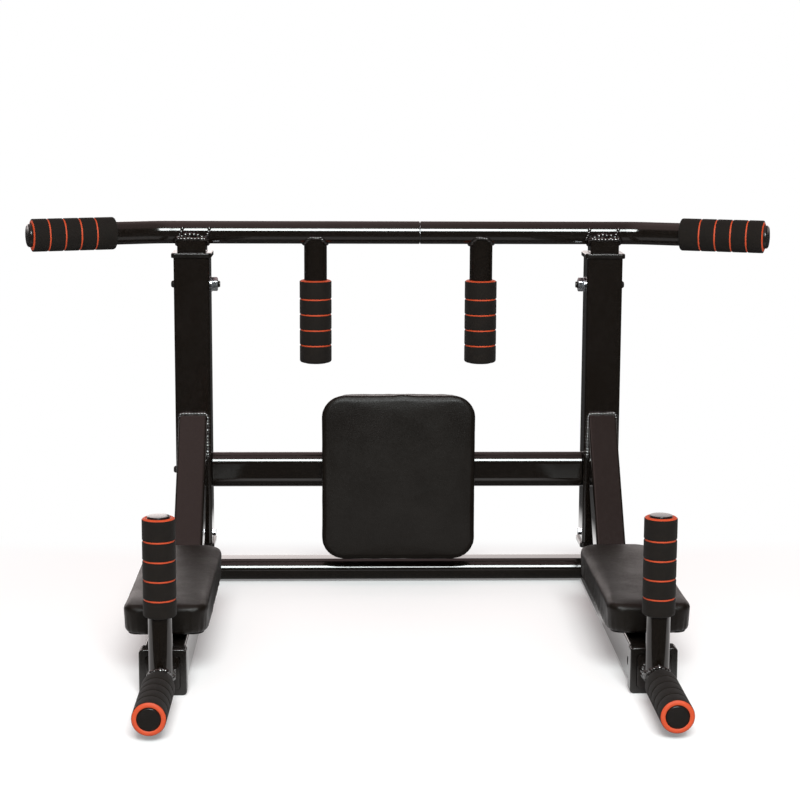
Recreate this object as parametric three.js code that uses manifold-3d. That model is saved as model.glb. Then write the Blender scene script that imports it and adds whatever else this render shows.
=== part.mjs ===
// Dip station with a wide pull-up bar, on two L-shaped side frames.
// Millimetres, +Z up. The user faces -Y, the posts stand at the back (+Y), +X is on the right
// when it is seen from the front. The origin is on the floor, in the middle of the footprint.

import * as THREE from 'three';
import { mergeVertices } from 'three/addons/utils/BufferGeometryUtils.js';
import Module from 'manifold-3d';

const wasm = await Module();
wasm.setup();

// Clearances and drawing steps
const TOUCH = 0.3;            // gap kept where one piece meets another
const SLIDE_FIT = 0.3;        // running gap all round a tube in its collar
const BOLT_FIT = 0.6;         // how much wider a hole is than the bolt in it
const OVERRUN = 5;            // how far a cutting shape runs past what it cuts
const ROUND_SIDES = 16;       // facets round a tube, grip or plug
const CORNER_STEPS = 2;       // curve divisions in the corner of a square tube
const OVAL_STEPS = 3;         // and in a quarter of a flat-oval tube's end

// Side frames: square tubes
const FRAME_SPACING = 578;    // between the middles of the left and the right frame
const SLEEVE = 50;            // side of the posts and arms
const SLEEVE_CORNER = 4;
const TUBE_WALL = 2;
const INNER = 40;             // side of the tubes that plug into the sleeves, and of the braces
const INNER_CORNER = 3.5;

// Plastic collars in the open ends of the sleeves
const FLANGE = 56;
const FLANGE_CORNER = 5;
const FLANGE_THICK = 7;       // on the posts
const ARM_FLANGE_THICK = 20;
const COLLAR_DEPTH = 30;      // inside the posts
const ARM_COLLAR_DEPTH = 14;

// Heights over the floor
const ARM_AXIS_Z = FLANGE / 2;
const POST_BOTTOM_Z = 61;
const POST_LENGTH = 406.5;
const BAR_RISE = 34.5;        // bar's middle over the top of the posts
const UPRIGHT_TOP_Z = 140;
const FOOT_THICK = 8;
const FOOT_INSERT = 7;

// Distances ahead of the front faces of the posts
const ARM_REACH = 492;
const BRACE_TOP_Z = 248.5;    // where the front face of the brace meets the post
const BRACE_ANGLE = THREE.MathUtils.degToRad(38);

// Cross tubes, flat-oval section
const OVAL_LONG = 50;
const OVAL_SHORT = 30;
const OVAL_END_WALL = 6;
const MID_TUBE_Z = 163.5;
const LOW_TUBE_Z = 18.5;

// Pull-up bar, in two halves on a joiner
const BAR_R = 16;
const BAR_SEAM_X = 30;
const BAR_SEAM_GAP = 0.8;
const BAR_BEND_X = 335;
const BAR_END_X = 503;
const BAR_BEND_RADIUS = 90;
const BAR_BEND_ANGLE = THREE.MathUtils.degToRad(21);
const BEND_STEPS = 4;
const JOINER_LENGTH = 130;
const JOINER_WALL = 2.5;
const BAR_STUB_INSERTION = 240;

// Hanging handles under the bar
const HANG_X = 116.5;
const HANG_GRIP_DROP = 67.5;  // top of the grips under the bar's middle

// Foam grips and tube plugs
const GRIP_LENGTH = 116;
const BAR_FOAM = 6.5;         // wall of the foam on the bar
const DIP_FOAM = 5.3;         // and on the dip handles
const GRIP_EDGE = 1.2;        // rounding at the ringed end
const RING_STEP = 21.8;       // from one ring of a grip to the next
const RING_COUNT = 4;
const GROOVE_WIDTH = 4;
const GROOVE_DEPTH = 1.5;
const GRIP_CHAMFER = 3.5;     // rounding at the plain end
const PLUG_INSERT = 18;
const PLUG_DOME = 7;          // how far the plugs of the bar stand out
const FLUSH_DOME = 1.6;       // how far the other plugs stand out
const PLUG_EDGE = 2;

// Dip handles
const DIP_R = 14;
const DIP_WALL = 1.5;
const DIP_STUB_LENGTH = 230;
const DIP_STUB_SHOW = 3;      // how far the stub stands out of its collar
const DIP_PLATE = 4;
const DIP_REACH = 168;        // from the stub's front plate to the end of the grip
const DIP_POST_AHEAD = 20;    // from the plate to the middle of the upright tube
const DIP_TOP_Z = 219;

// Adjusting holes and M10 bolts
const BOLT_R = 5;
const BAR_HOLE_PITCH = 25;
const DIP_HOLE_PITCH = 20;
const HOLE_COUNT = 7;
const BAR_BOLT_DROP = 38.5;   // bar bolts under the top of the posts
const DIP_BOLT_BACK = 22;     // from the front end of the arm tube to its bolt
const HEAD_R = 9;
const HEAD_THICK = 5;
const NUT_FLATS = 17;
const NUT_THICK = 8;
const WASHER_R = 10.5;
const WASHER_THICK = 2;
const BOLT_TAIL = 3;          // thread that stands out of a nut
const HOLE_SIDES = 8;
const HEAD_SIDES = 16;

// Back pad, its board and the plate on the middle cross tube
const BACK_WIDTH = 216;
const BACK_HEIGHT = 234;
const BACK_BELOW_TUBE = 2.5;  // middle of the pad below the middle of the cross tube
const BACK_THICK = 38;
const BACK_CORNER = 41;
const BOARD_INSET = 12;
const BOARD_THICK = 12;
const BOARD_CORNER = 30;
const PLATE_SIDE = 150;
const PLATE_THICK = 3;
const PLATE_CORNER = 8;

// Arm pads and the channels that carry them
const PAD_WIDTH = 104;
const PAD_THICK = 38;
const PAD_CORNER = 36;
const PAD_END_GAP = 13;       // from the front end of the arm to the pad
const PAD_BRACE_GAP = 6.3;    // from the foot of the brace to the pad
const CHANNEL_WIDTH = 44;
const CHANNEL_HEIGHT = 9.4;
const CHANNEL_INSET = 40;     // the channel ends inside the pad by this much
const CHANNEL_WALL = 3;

// Upholstery form
const CROWN = 4;              // how much higher a pad is in its middle
const SIDE_PINCH = 2.5;       // how far the sides draw in between the corners
const PAD_EDGE = 9;           // rounding from the face to the side
const CORNER_POINTS = 6;      // points round one corner of a pad
const SIDE_POINTS = 3;        // points along one side of a pad

// Colours and finishes
const finish = (name, color, roughness, metalness) =>
  Object.assign(new THREE.MeshStandardMaterial({ color, roughness, metalness }), { name });
const BLACK_PAINT = finish('black_paint', 0x1a1715, 0.3, 0.2);
const BLACK_PLASTIC = finish('black_plastic', 0x1c1b1a, 0.5, 0);
const FOAM = finish('foam', 0x1d1a19, 0.9, 0);
const VINYL = finish('vinyl', 0x26221f, 0.55, 0);
const PLYWOOD = finish('plywood', 0xa8855a, 0.8, 0);
const ZINC = finish('zinc', 0xb9bcc0, 0.35, 0.9);
const BARE_STEEL = finish('bare_steel', 0x8d8f92, 0.4, 0.9);

// Sizes that follow from the ones above
const frameX = FRAME_SPACING / 2;
const sleeveBore = SLEEVE - 2 * TUBE_WALL;
const postDepth = SLEEVE / 2;                       // from the posts' front faces to their middle
const postTopZ = POST_BOTTOM_Z + POST_LENGTH;
const armTopZ = ARM_AXIS_Z + SLEEVE / 2;
const armBackY = postDepth - INNER / 2 - TOUCH;
const armFrontY = -ARM_REACH;
const stubFrontY = armFrontY - ARM_FLANGE_THICK - DIP_STUB_SHOW;
const dipEndY = stubFrontY - DIP_REACH;
const dipPostY = stubFrontY - DIP_POST_AHEAD;
const dipBoltY = armFrontY + DIP_BOLT_BACK;
const barTubeBore = BAR_R - TUBE_WALL;
const barAxisZ = postTopZ + BAR_RISE;
const barBoltZ = postTopZ - BAR_BOLT_DROP;
const hangGripTopZ = barAxisZ - HANG_GRIP_DROP;
const padBaseZ = armTopZ + TOUCH + CHANNEL_HEIGHT + TOUCH;
const braceFootY = -(BRACE_TOP_Z - armTopZ) * Math.tan(BRACE_ANGLE);
const padFrontY = armFrontY + PAD_END_GAP;
const padRearY = braceFootY - PAD_BRACE_GAP;
const padLength = padRearY - padFrontY;
const padMiddleY = (padRearY + padFrontY) / 2;
const channelLength = padLength - 2 * CHANNEL_INSET;
const lowTubeY = armBackY + TOUCH + OVAL_LONG / 2;   // just behind the arms
const rearY = lowTubeY + OVAL_LONG / 2;
const frontY = dipEndY - FLUSH_DOME;

// Solids: conversion, joining and cutting
function solid(geometry) {
  const bare = geometry.clone();
  bare.deleteAttribute('normal');
  bare.deleteAttribute('uv');
  const merged = mergeVertices(bare);
  return new wasm.Manifold(new wasm.Mesh({
    numProp: 3,
    vertProperties: new Float32Array(merged.attributes.position.array),
    triVerts: new Uint32Array(merged.index.array),
  }));
}

function surface(body) {
  const mesh = body.getMesh();
  const geometry = new THREE.BufferGeometry();
  geometry.setAttribute('position', new THREE.BufferAttribute(new Float32Array(mesh.vertProperties), 3));
  geometry.setIndex(new THREE.BufferAttribute(new Uint32Array(mesh.triVerts), 1));
  geometry.computeVertexNormals();
  return geometry;
}

function carve(geometry, cutters, joined = []) {
  let body = solid(geometry);
  for (const extra of joined) body = body.add(solid(extra));
  for (const cutter of cutters) body = body.subtract(solid(cutter));
  return surface(body);
}

// Outlines
function roundedRect(width, height, radius, path = new THREE.Shape()) {
  const x = width / 2 - radius;
  const y = height / 2 - radius;
  path.moveTo(x + radius, y);
  path.absarc(x, y, radius, 0, Math.PI / 2);
  path.absarc(-x, y, radius, Math.PI / 2, Math.PI);
  path.absarc(-x, -y, radius, Math.PI, Math.PI * 1.5);
  path.absarc(x, -y, radius, Math.PI * 1.5, Math.PI * 2);
  path.closePath();
  return path;
}

function ringShape(outer, inner) {
  const shape = new THREE.Shape();
  shape.absarc(0, 0, outer, 0, Math.PI * 2);
  if (inner > 0) shape.holes.push(new THREE.Path().absarc(0, 0, inner, 0, Math.PI * 2, true));
  return shape;
}

// Prisms along +Z from 0 to their length
function prism(shape, length, steps = CORNER_STEPS) {
  return new THREE.ExtrudeGeometry(shape, { depth: length, bevelEnabled: false, curveSegments: steps });
}

function squareTube(side, corner, wall, length) {
  const shape = roundedRect(side, side, corner);
  shape.holes.push(roundedRect(side - 2 * wall, side - 2 * wall, corner - wall, new THREE.Path()));
  return prism(shape, length);
}

function roundTube(outer, inner, length) {
  return prism(ringShape(outer, inner), length, ROUND_SIDES / 2);
}

// A rod along X through the origin, to drill holes with
function drill(radius, length) {
  return new THREE.CylinderGeometry(radius, radius, length, HOLE_SIDES).rotateZ(Math.PI / 2);
}

// A turned piece: its profile is a list of [radius, distance along the axis], the axis is +Z
function turned(profile, sides = ROUND_SIDES) {
  const points = profile.map(([r, z]) => new THREE.Vector2(r, z));
  return new THREE.LatheGeometry(points, sides).rotateX(Math.PI / 2);
}

// A tube along a route of straight runs and bends, with rings only where the route needs them
class StationCurve extends THREE.Curve {
  constructor(stations) {
    super();
    this.stations = stations;
  }

  at(u) {
    return this.stations[Math.round(u * (this.stations.length - 1))];
  }

  getPointAt(u) {
    return this.at(u).point.clone();
  }

  getTangentAt(u) {
    return this.at(u).tangent.clone();
  }
}

function tubeAlong(stations, outer, inner) {
  return new THREE.ExtrudeGeometry(ringShape(outer, inner), {
    steps: stations.length - 1,
    extrudePath: new StationCurve(stations),
    bevelEnabled: false,
    curveSegments: ROUND_SIDES / 2,
  });
}

// Scene tree
const part = new THREE.Group();
part.name = 'dip_station';
part.position.y = -(rearY + frontY) / 2;

function place(parent, name, geometry, material, x = 0, y = 0, z = 0) {
  const mesh = new THREE.Mesh(geometry, material);
  mesh.name = name;
  mesh.position.set(x, y, z);
  parent.add(mesh);
  return mesh;
}

// Collar: a flange over the end of a sleeve, and a bush inside it. The tube it guides runs along Z.
function collarGeometry(thick, depth) {
  const bore = INNER + 2 * SLIDE_FIT;
  const boreCorner = INNER_CORNER + SLIDE_FIT;
  const flange = roundedRect(FLANGE, FLANGE, FLANGE_CORNER);
  flange.holes.push(roundedRect(bore, bore, boreCorner, new THREE.Path()));
  const bushSide = sleeveBore - 2 * TOUCH;
  const bush = roundedRect(bushSide, bushSide, SLEEVE_CORNER - TUBE_WALL + TOUCH);
  bush.holes.push(roundedRect(bore, bore, boreCorner, new THREE.Path()));
  const bushBody = prism(bush, depth + thick / 2).translate(0, 0, -depth);
  return carve(prism(flange, thick).translate(0, 0, TOUCH), [], [bushBody]);
}

// Bolt: domed head behind the origin, shaft along +Z
function boltGeometry(length) {
  const head = turned([
    [0, -HEAD_THICK],
    [HEAD_R / 2, -HEAD_THICK],
    [HEAD_R, -HEAD_THICK / 2],
    [HEAD_R, 0],
    [0, 0],
  ], HEAD_SIDES);
  const shaft = turned([
    [0, -HEAD_THICK / 2],
    [BOLT_R, -HEAD_THICK / 2],
    [BOLT_R, length],
    [0, length],
  ], HOLE_SIDES);
  return carve(head, [], [shaft]);
}

// Flanged nut: bore along Z, its washer face at the origin
function nutGeometry() {
  const hex = new THREE.CylinderGeometry(NUT_FLATS / Math.sqrt(3), NUT_FLATS / Math.sqrt(3), NUT_THICK, 6)
    .rotateX(Math.PI / 2)
    .translate(0, 0, WASHER_THICK + NUT_THICK / 2 - TOUCH);
  const washer = new THREE.CylinderGeometry(WASHER_R, WASHER_R, WASHER_THICK, ROUND_SIDES)
    .rotateX(Math.PI / 2)
    .translate(0, 0, WASHER_THICK / 2);
  const bore = new THREE.CylinderGeometry(BOLT_R + TOUCH, BOLT_R + TOUCH, 4 * NUT_THICK, HOLE_SIDES)
    .rotateX(Math.PI / 2);
  return carve(washer, [bore], [hex]);
}

// Foam grip: bore along Z, its ringed end at the origin, the plain end at GRIP_LENGTH. A groove
// for each colour ring goes round it.
function gripGeometry(tubeR, foam) {
  const inner = tubeR + TOUCH;
  const outer = tubeR + foam;
  const grooves = [];
  for (let k = 1; k <= RING_COUNT; k += 1) {
    const middle = RING_STEP * k + GRIP_EDGE * 2;
    grooves.push(
      [outer, middle - GROOVE_WIDTH / 2],
      [outer - GROOVE_DEPTH, middle],
      [outer, middle + GROOVE_WIDTH / 2],
    );
  }
  return turned([
    [inner, 0],
    [outer - GRIP_EDGE, 0],
    [outer, GRIP_EDGE],
    ...grooves,
    [outer, GRIP_LENGTH - GRIP_CHAMFER],
    [outer - GRIP_CHAMFER, GRIP_LENGTH],
    [inner, GRIP_LENGTH],
    [inner, 0],
  ]);
}

// Tube plug: the insert runs along +Z into the tube, the dome stands out towards -Z
function plugGeometry(tubeR, wall, headR, dome) {
  const insertR = tubeR - wall - TOUCH;
  return turned([
    [0, -dome],
    [headR - PLUG_EDGE, -dome],
    [headR, -dome + Math.min(PLUG_EDGE, dome / 2)],
    [headR, -TOUCH],
    [insertR, -TOUCH],
    [insertR, PLUG_INSERT],
    [0, PLUG_INSERT],
  ]);
}

// Upholstered pad: face towards +Z, flat back at Z = 0. The outline draws in along its sides and
// the face rises to a crown.
function padOutline(width, height, corner, inset) {
  const points = [];
  const radius = Math.max(corner - inset, corner / 4);
  const halfX = width / 2 - inset;
  const halfY = height / 2 - inset;
  const corners = [[1, 1], [-1, 1], [-1, -1], [1, -1]];
  corners.forEach(([sx, sy], index) => {
    for (let k = 0; k < CORNER_POINTS; k += 1) {
      const angle = (index + k / (CORNER_POINTS - 1)) * Math.PI / 2;
      points.push([
        sx * (halfX - radius) + radius * Math.cos(angle),
        sy * (halfY - radius) + radius * Math.sin(angle),
      ]);
    }
    const alongX = index % 2 === 0;
    const reach = alongX ? halfX - radius : halfY - radius;
    for (let k = 1; k <= SIDE_POINTS; k += 1) {
      const share = k / (SIDE_POINTS + 1);
      const along = reach * (1 - 2 * share);
      const pinched = -SIDE_PINCH * Math.sin(Math.PI * share) ** 2;
      if (alongX) points.push([sx * along, sy * (halfY + pinched)]);
      else points.push([sx * (halfX + pinched), sy * along]);
    }
  });
  return points;
}

function padGeometry(width, height, thick, corner) {
  const rings = [];
  const ring = (inset, z) => rings.push(padOutline(width, height, corner, inset).map(([x, y]) => [x, y, z]));
  ring(PAD_EDGE / 2, 0);
  ring(PAD_EDGE / 6, PAD_EDGE / 4);
  ring(0, thick / 2);
  ring(PAD_EDGE / 6, thick - PAD_EDGE);
  ring(PAD_EDGE / 2, thick - PAD_EDGE / 3);
  ring(PAD_EDGE, thick);
  const inner = rings[rings.length - 1];
  for (const share of [0.75, 0.45]) {
    rings.push(inner.map(([x, y]) => [x * share, y * share, thick + CROWN * (1 - share ** 2)]));
  }
  const count = rings[0].length;
  const positions = rings.flat(2);
  const index = [];
  for (let r = 0; r < rings.length - 1; r += 1) {
    for (let k = 0; k < count; k += 1) {
      const a = r * count + k;
      const b = r * count + (k + 1) % count;
      index.push(a, b, b + count, a, b + count, a + count);
    }
  }
  const bottom = positions.length / 3;
  positions.push(0, 0, 0, 0, 0, thick + CROWN);
  const last = (rings.length - 1) * count;
  for (let k = 0; k < count; k += 1) {
    const next = (k + 1) % count;
    index.push(bottom, next, k, bottom + 1, last + k, last + next);
  }
  const geometry = new THREE.BufferGeometry();
  geometry.setAttribute('position', new THREE.Float32BufferAttribute(positions, 3));
  geometry.setIndex(index);
  geometry.computeVertexNormals();
  return geometry;
}

// Post: upright sleeve with bolt holes across it
function postGeometry() {
  const holes = [barBoltZ, MID_TUBE_Z].map((z) =>
    drill(BOLT_R + BOLT_FIT / 2, SLEEVE + 2 * OVERRUN).translate(0, 0, z - POST_BOTTOM_Z));
  return carve(squareTube(SLEEVE, SLEEVE_CORNER, TUBE_WALL, POST_LENGTH), holes);
}

// Arm: horizontal sleeve along -Y, with a bolt hole near its front end
function armGeometry() {
  const length = armBackY - armFrontY;
  const hole = drill(BOLT_R + BOLT_FIT / 2, SLEEVE + 2 * OVERRUN).translate(0, dipBoltY, 0);
  const tube = squareTube(SLEEVE, SLEEVE_CORNER, TUBE_WALL, length)
    .rotateX(Math.PI / 2)
    .translate(0, armBackY, 0);
  return carve(tube, [hole]);
}

// Brace: square tube from the front of the post down to the top of the arm, cut to both
function braceGeometry() {
  const length = 2 * BRACE_TOP_Z;
  const normalY = Math.cos(BRACE_ANGLE) * INNER / 2;
  const normalZ = Math.sin(BRACE_ANGLE) * INNER / 2;
  const tube = squareTube(INNER, INNER_CORNER, TUBE_WALL, length)
    .translate(0, 0, -length * 0.75)
    .rotateX(-BRACE_ANGLE)
    .translate(0, normalY, BRACE_TOP_Z - normalZ);
  const post = new THREE.BoxGeometry(2 * SLEEVE, length, 4 * length).translate(0, length / 2 - TOUCH, 0);
  const arm = new THREE.BoxGeometry(2 * SLEEVE, 4 * length, length)
    .translate(0, 0, armTopZ + TOUCH - length / 2);
  return carve(tube, [post, arm]);
}

// Flat-oval cross tube along X, closed by end walls that are tapped for its bolts
function crossTubeGeometry(length) {
  const outer = roundedRect(OVAL_SHORT, OVAL_LONG, OVAL_SHORT / 2);
  const inner = roundedRect(OVAL_SHORT - 2 * TUBE_WALL, OVAL_LONG - 2 * TUBE_WALL, OVAL_SHORT / 2 - TUBE_WALL);
  const body = prism(outer, length, OVAL_STEPS).translate(0, 0, -length / 2);
  const hollow = length - 2 * OVAL_END_WALL;
  const core = prism(inner, hollow, OVAL_STEPS).translate(0, 0, -hollow / 2);
  const bolts = new THREE.CylinderGeometry(BOLT_R + TOUCH, BOLT_R + TOUCH, length + OVERRUN, HOLE_SIDES)
    .rotateX(Math.PI / 2);
  return carve(body, [core, bolts]).rotateX(Math.PI / 2).rotateZ(Math.PI / 2);
}

// Side frames
function sideFrame(side, name) {
  const frame = new THREE.Group();
  frame.position.x = side * frameX;
  part.add(frame);

  place(frame, `post_${name}`, postGeometry(), BLACK_PAINT, 0, postDepth, POST_BOTTOM_Z);
  place(frame, `brace_${name}`, braceGeometry(), BLACK_PAINT);
  place(frame, `arm_${name}`, armGeometry(), BLACK_PAINT, 0, 0, ARM_AXIS_Z);

  const uprightHole = drill(BOLT_R + BOLT_FIT / 2, SLEEVE + 2 * OVERRUN)
    .translate(0, lowTubeY - postDepth, LOW_TUBE_Z - FOOT_THICK);
  const upright = squareTube(INNER, INNER_CORNER, TUBE_WALL, UPRIGHT_TOP_Z - FOOT_THICK);
  place(frame, `upright_${name}`, carve(upright, [uprightHole]), BLACK_PAINT, 0, postDepth, FOOT_THICK);

  const insertSide = INNER - 2 * TUBE_WALL - 2 * TOUCH;
  const insertCorner = INNER_CORNER - TUBE_WALL;
  const footInsert = prism(roundedRect(insertSide, insertSide, insertCorner), FOOT_INSERT + FOOT_THICK);
  const foot = prism(roundedRect(INNER, INNER, INNER_CORNER), FOOT_THICK - TOUCH);
  place(frame, `foot_${name}`, carve(foot, [], [footInsert]), BLACK_PLASTIC, 0, postDepth, 0);

  const postCollar = collarGeometry(FLANGE_THICK, COLLAR_DEPTH);
  place(frame, `post_top_collar_${name}`, postCollar, BLACK_PLASTIC, 0, postDepth, postTopZ);
  const lowCollar = place(frame, `post_bottom_collar_${name}`, postCollar.clone(), BLACK_PLASTIC);
  lowCollar.position.set(0, postDepth, POST_BOTTOM_Z);
  lowCollar.rotation.x = Math.PI;
  const armCollar = place(frame, `arm_collar_${name}`, collarGeometry(ARM_FLANGE_THICK, ARM_COLLAR_DEPTH), BLACK_PLASTIC);
  armCollar.position.set(0, armFrontY, ARM_AXIS_Z);
  armCollar.rotation.x = Math.PI / 2;

  // Bolts across the frame: heads on the outer side
  const outerFace = side * SLEEVE / 2;
  const inward = -side * Math.PI / 2;
  const barBolt = boltGeometry(SLEEVE + WASHER_THICK + NUT_THICK + BOLT_TAIL + 2 * TOUCH);
  const tubeBolt = boltGeometry(SLEEVE + 2 * OVAL_END_WALL);
  const armBolt = boltGeometry(SLEEVE - TUBE_WALL / 2);
  const bolts = [
    [`bar_bolt_${name}`, barBolt, postDepth, barBoltZ],
    [`cross_tube_bolt_${name}`, tubeBolt, postDepth, MID_TUBE_Z],
    [`arm_bolt_${name}`, armBolt, dipBoltY, ARM_AXIS_Z],
  ];
  for (const [boltName, geometry, y, z] of bolts) {
    const bolt = place(frame, boltName, geometry, ZINC, outerFace + side * TOUCH, y, z);
    bolt.rotation.y = inward;
  }
  const nut = place(frame, `bar_nut_${name}`, nutGeometry(), ZINC, -outerFace - side * TOUCH, postDepth, barBoltZ);
  nut.rotation.y = inward;
  return frame;
}

// Arm pad on its channel
function channelGeometry() {
  const shape = new THREE.Shape();
  const half = CHANNEL_WIDTH / 2;
  const inside = half - CHANNEL_WALL;
  const outline = [
    [-half, 0], [-inside, 0], [-inside, CHANNEL_HEIGHT - CHANNEL_WALL], [inside, CHANNEL_HEIGHT - CHANNEL_WALL],
    [inside, 0], [half, 0], [half, CHANNEL_HEIGHT], [-half, CHANNEL_HEIGHT],
  ];
  outline.forEach(([x, y], k) => (k ? shape.lineTo(x, y) : shape.moveTo(x, y)));
  shape.closePath();
  return prism(shape, channelLength).translate(0, 0, -channelLength / 2).rotateX(Math.PI / 2);
}

function armPad(frame, name) {
  place(frame, `arm_pad_channel_${name}`, channelGeometry(), BLACK_PAINT, 0, padMiddleY, armTopZ + TOUCH);
  const pad = padGeometry(PAD_WIDTH, padLength, PAD_THICK - CROWN, PAD_CORNER);
  place(frame, `arm_pad_${name}`, pad, VINYL, 0, padMiddleY, padBaseZ);
}

// Dip handle: a stub in the arm, a forward tube welded to its plate, and an upright tube on that
function dipTubeGeometry() {
  const start = stubFrontY - TOUCH;
  const flatLength = start - dipEndY;
  const riseLength = DIP_TOP_Z - ARM_AXIS_Z;
  const forward = (radius, extra) => roundTube(radius, 0, flatLength + 2 * extra)
    .rotateX(Math.PI / 2)
    .translate(0, start + extra, ARM_AXIS_Z);
  const upward = (radius, extra) => roundTube(radius, 0, riseLength + extra)
    .translate(0, dipPostY, ARM_AXIS_Z);
  const bore = DIP_R - DIP_WALL;
  return carve(forward(DIP_R, 0), [forward(bore, OVERRUN), upward(bore, OVERRUN)], [upward(DIP_R, 0)]);
}

function dipStubGeometry() {
  const tube = squareTube(INNER, INNER_CORNER, TUBE_WALL, DIP_STUB_LENGTH);
  const plate = prism(roundedRect(INNER, INNER, INNER_CORNER), DIP_PLATE)
    .translate(0, 0, DIP_STUB_LENGTH - DIP_PLATE);
  const body = carve(tube, [], [plate])
    .rotateX(Math.PI / 2)
    .translate(0, stubFrontY + DIP_STUB_LENGTH, 0);
  const holes = [];
  for (let k = 0; k < HOLE_COUNT; k += 1) {
    holes.push(drill(BOLT_R + BOLT_FIT / 2, SLEEVE).translate(0, dipBoltY + k * DIP_HOLE_PITCH, 0));
  }
  return carve(body, holes);
}

function dipHandle(side, name) {
  const handle = new THREE.Group();
  handle.position.x = side * frameX;
  part.add(handle);
  place(handle, `dip_stub_${name}`, dipStubGeometry(), BLACK_PAINT, 0, 0, ARM_AXIS_Z);
  place(handle, `dip_tube_${name}`, dipTubeGeometry(), BLACK_PAINT);

  const headR = DIP_R - DIP_WALL;
  const frontGrip = place(handle, `dip_front_grip_${name}`, gripGeometry(DIP_R, DIP_FOAM), FOAM, 0, dipEndY, ARM_AXIS_Z);
  frontGrip.rotation.x = -Math.PI / 2;
  const frontPlug = plugGeometry(DIP_R, DIP_WALL, headR, FLUSH_DOME);
  const front = place(handle, `dip_front_plug_${name}`, frontPlug, BLACK_PLASTIC, 0, dipEndY, ARM_AXIS_Z);
  front.rotation.x = -Math.PI / 2;

  const topGrip = place(handle, `dip_top_grip_${name}`, gripGeometry(DIP_R, DIP_FOAM), FOAM, 0, dipPostY, DIP_TOP_Z);
  topGrip.rotation.x = Math.PI;
  const topPlug = plugGeometry(DIP_R, DIP_WALL, headR, FLUSH_DOME);
  const top = place(handle, `dip_top_plug_${name}`, topPlug, BLACK_PLASTIC, 0, dipPostY, DIP_TOP_Z);
  top.rotation.x = Math.PI;
}

// Pull-up bar
function barHalfStations(side, seamX) {
  const direction = new THREE.Vector3(side * Math.cos(BAR_BEND_ANGLE), -Math.sin(BAR_BEND_ANGLE), 0);
  const straight = new THREE.Vector3(side, 0, 0);
  const corner = new THREE.Vector3(side * BAR_BEND_X, 0, 0);
  const tangentLength = BAR_BEND_RADIUS * Math.tan(BAR_BEND_ANGLE / 2);
  const bendStartX = BAR_BEND_X - tangentLength;
  const stations = [{ point: new THREE.Vector3(seamX, 0, 0), tangent: straight }];
  for (let k = 0; k <= BEND_STEPS; k += 1) {
    const turn = BAR_BEND_ANGLE * k / BEND_STEPS;
    stations.push({
      point: new THREE.Vector3(
        side * (bendStartX + BAR_BEND_RADIUS * Math.sin(turn)),
        -BAR_BEND_RADIUS * (1 - Math.cos(turn)),
        0,
      ),
      tangent: new THREE.Vector3(side * Math.cos(turn), -Math.sin(turn), 0),
    });
  }
  const legLength = (BAR_END_X - BAR_BEND_X) / Math.cos(BAR_BEND_ANGLE);
  const end = corner.clone().addScaledVector(direction, legLength);
  stations.push({ point: end, tangent: direction });
  return stations;
}

function barStubGeometry() {
  const bottom = postTopZ + FLANGE_THICK - BAR_STUB_INSERTION;
  const tube = squareTube(INNER, INNER_CORNER, TUBE_WALL, barAxisZ - bottom).translate(0, 0, bottom);
  const cope = new THREE.CylinderGeometry(BAR_R + TOUCH, BAR_R + TOUCH, 2 * SLEEVE, 2 * ROUND_SIDES)
    .rotateZ(Math.PI / 2)
    .translate(0, 0, barAxisZ);
  const above = new THREE.BoxGeometry(2 * SLEEVE, 2 * SLEEVE, SLEEVE)
    .translate(0, 0, barAxisZ - BAR_R / 2 + SLEEVE / 2);
  const holes = [];
  for (let k = 0; k < HOLE_COUNT; k += 1) {
    holes.push(drill(BOLT_R + BOLT_FIT / 2, SLEEVE).translate(0, 0, barBoltZ - k * BAR_HOLE_PITCH));
  }
  return carve(tube, [cope, above, ...holes]);
}

function hangTubeGeometry() {
  const bottom = hangGripTopZ - GRIP_LENGTH;
  const tube = roundTube(BAR_R, barTubeBore, barAxisZ - bottom).translate(0, 0, bottom);
  const cope = new THREE.CylinderGeometry(BAR_R + TOUCH, BAR_R + TOUCH, 4 * BAR_R, 2 * ROUND_SIDES)
    .rotateZ(Math.PI / 2)
    .translate(0, 0, barAxisZ);
  return carve(tube, [cope]);
}

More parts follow.
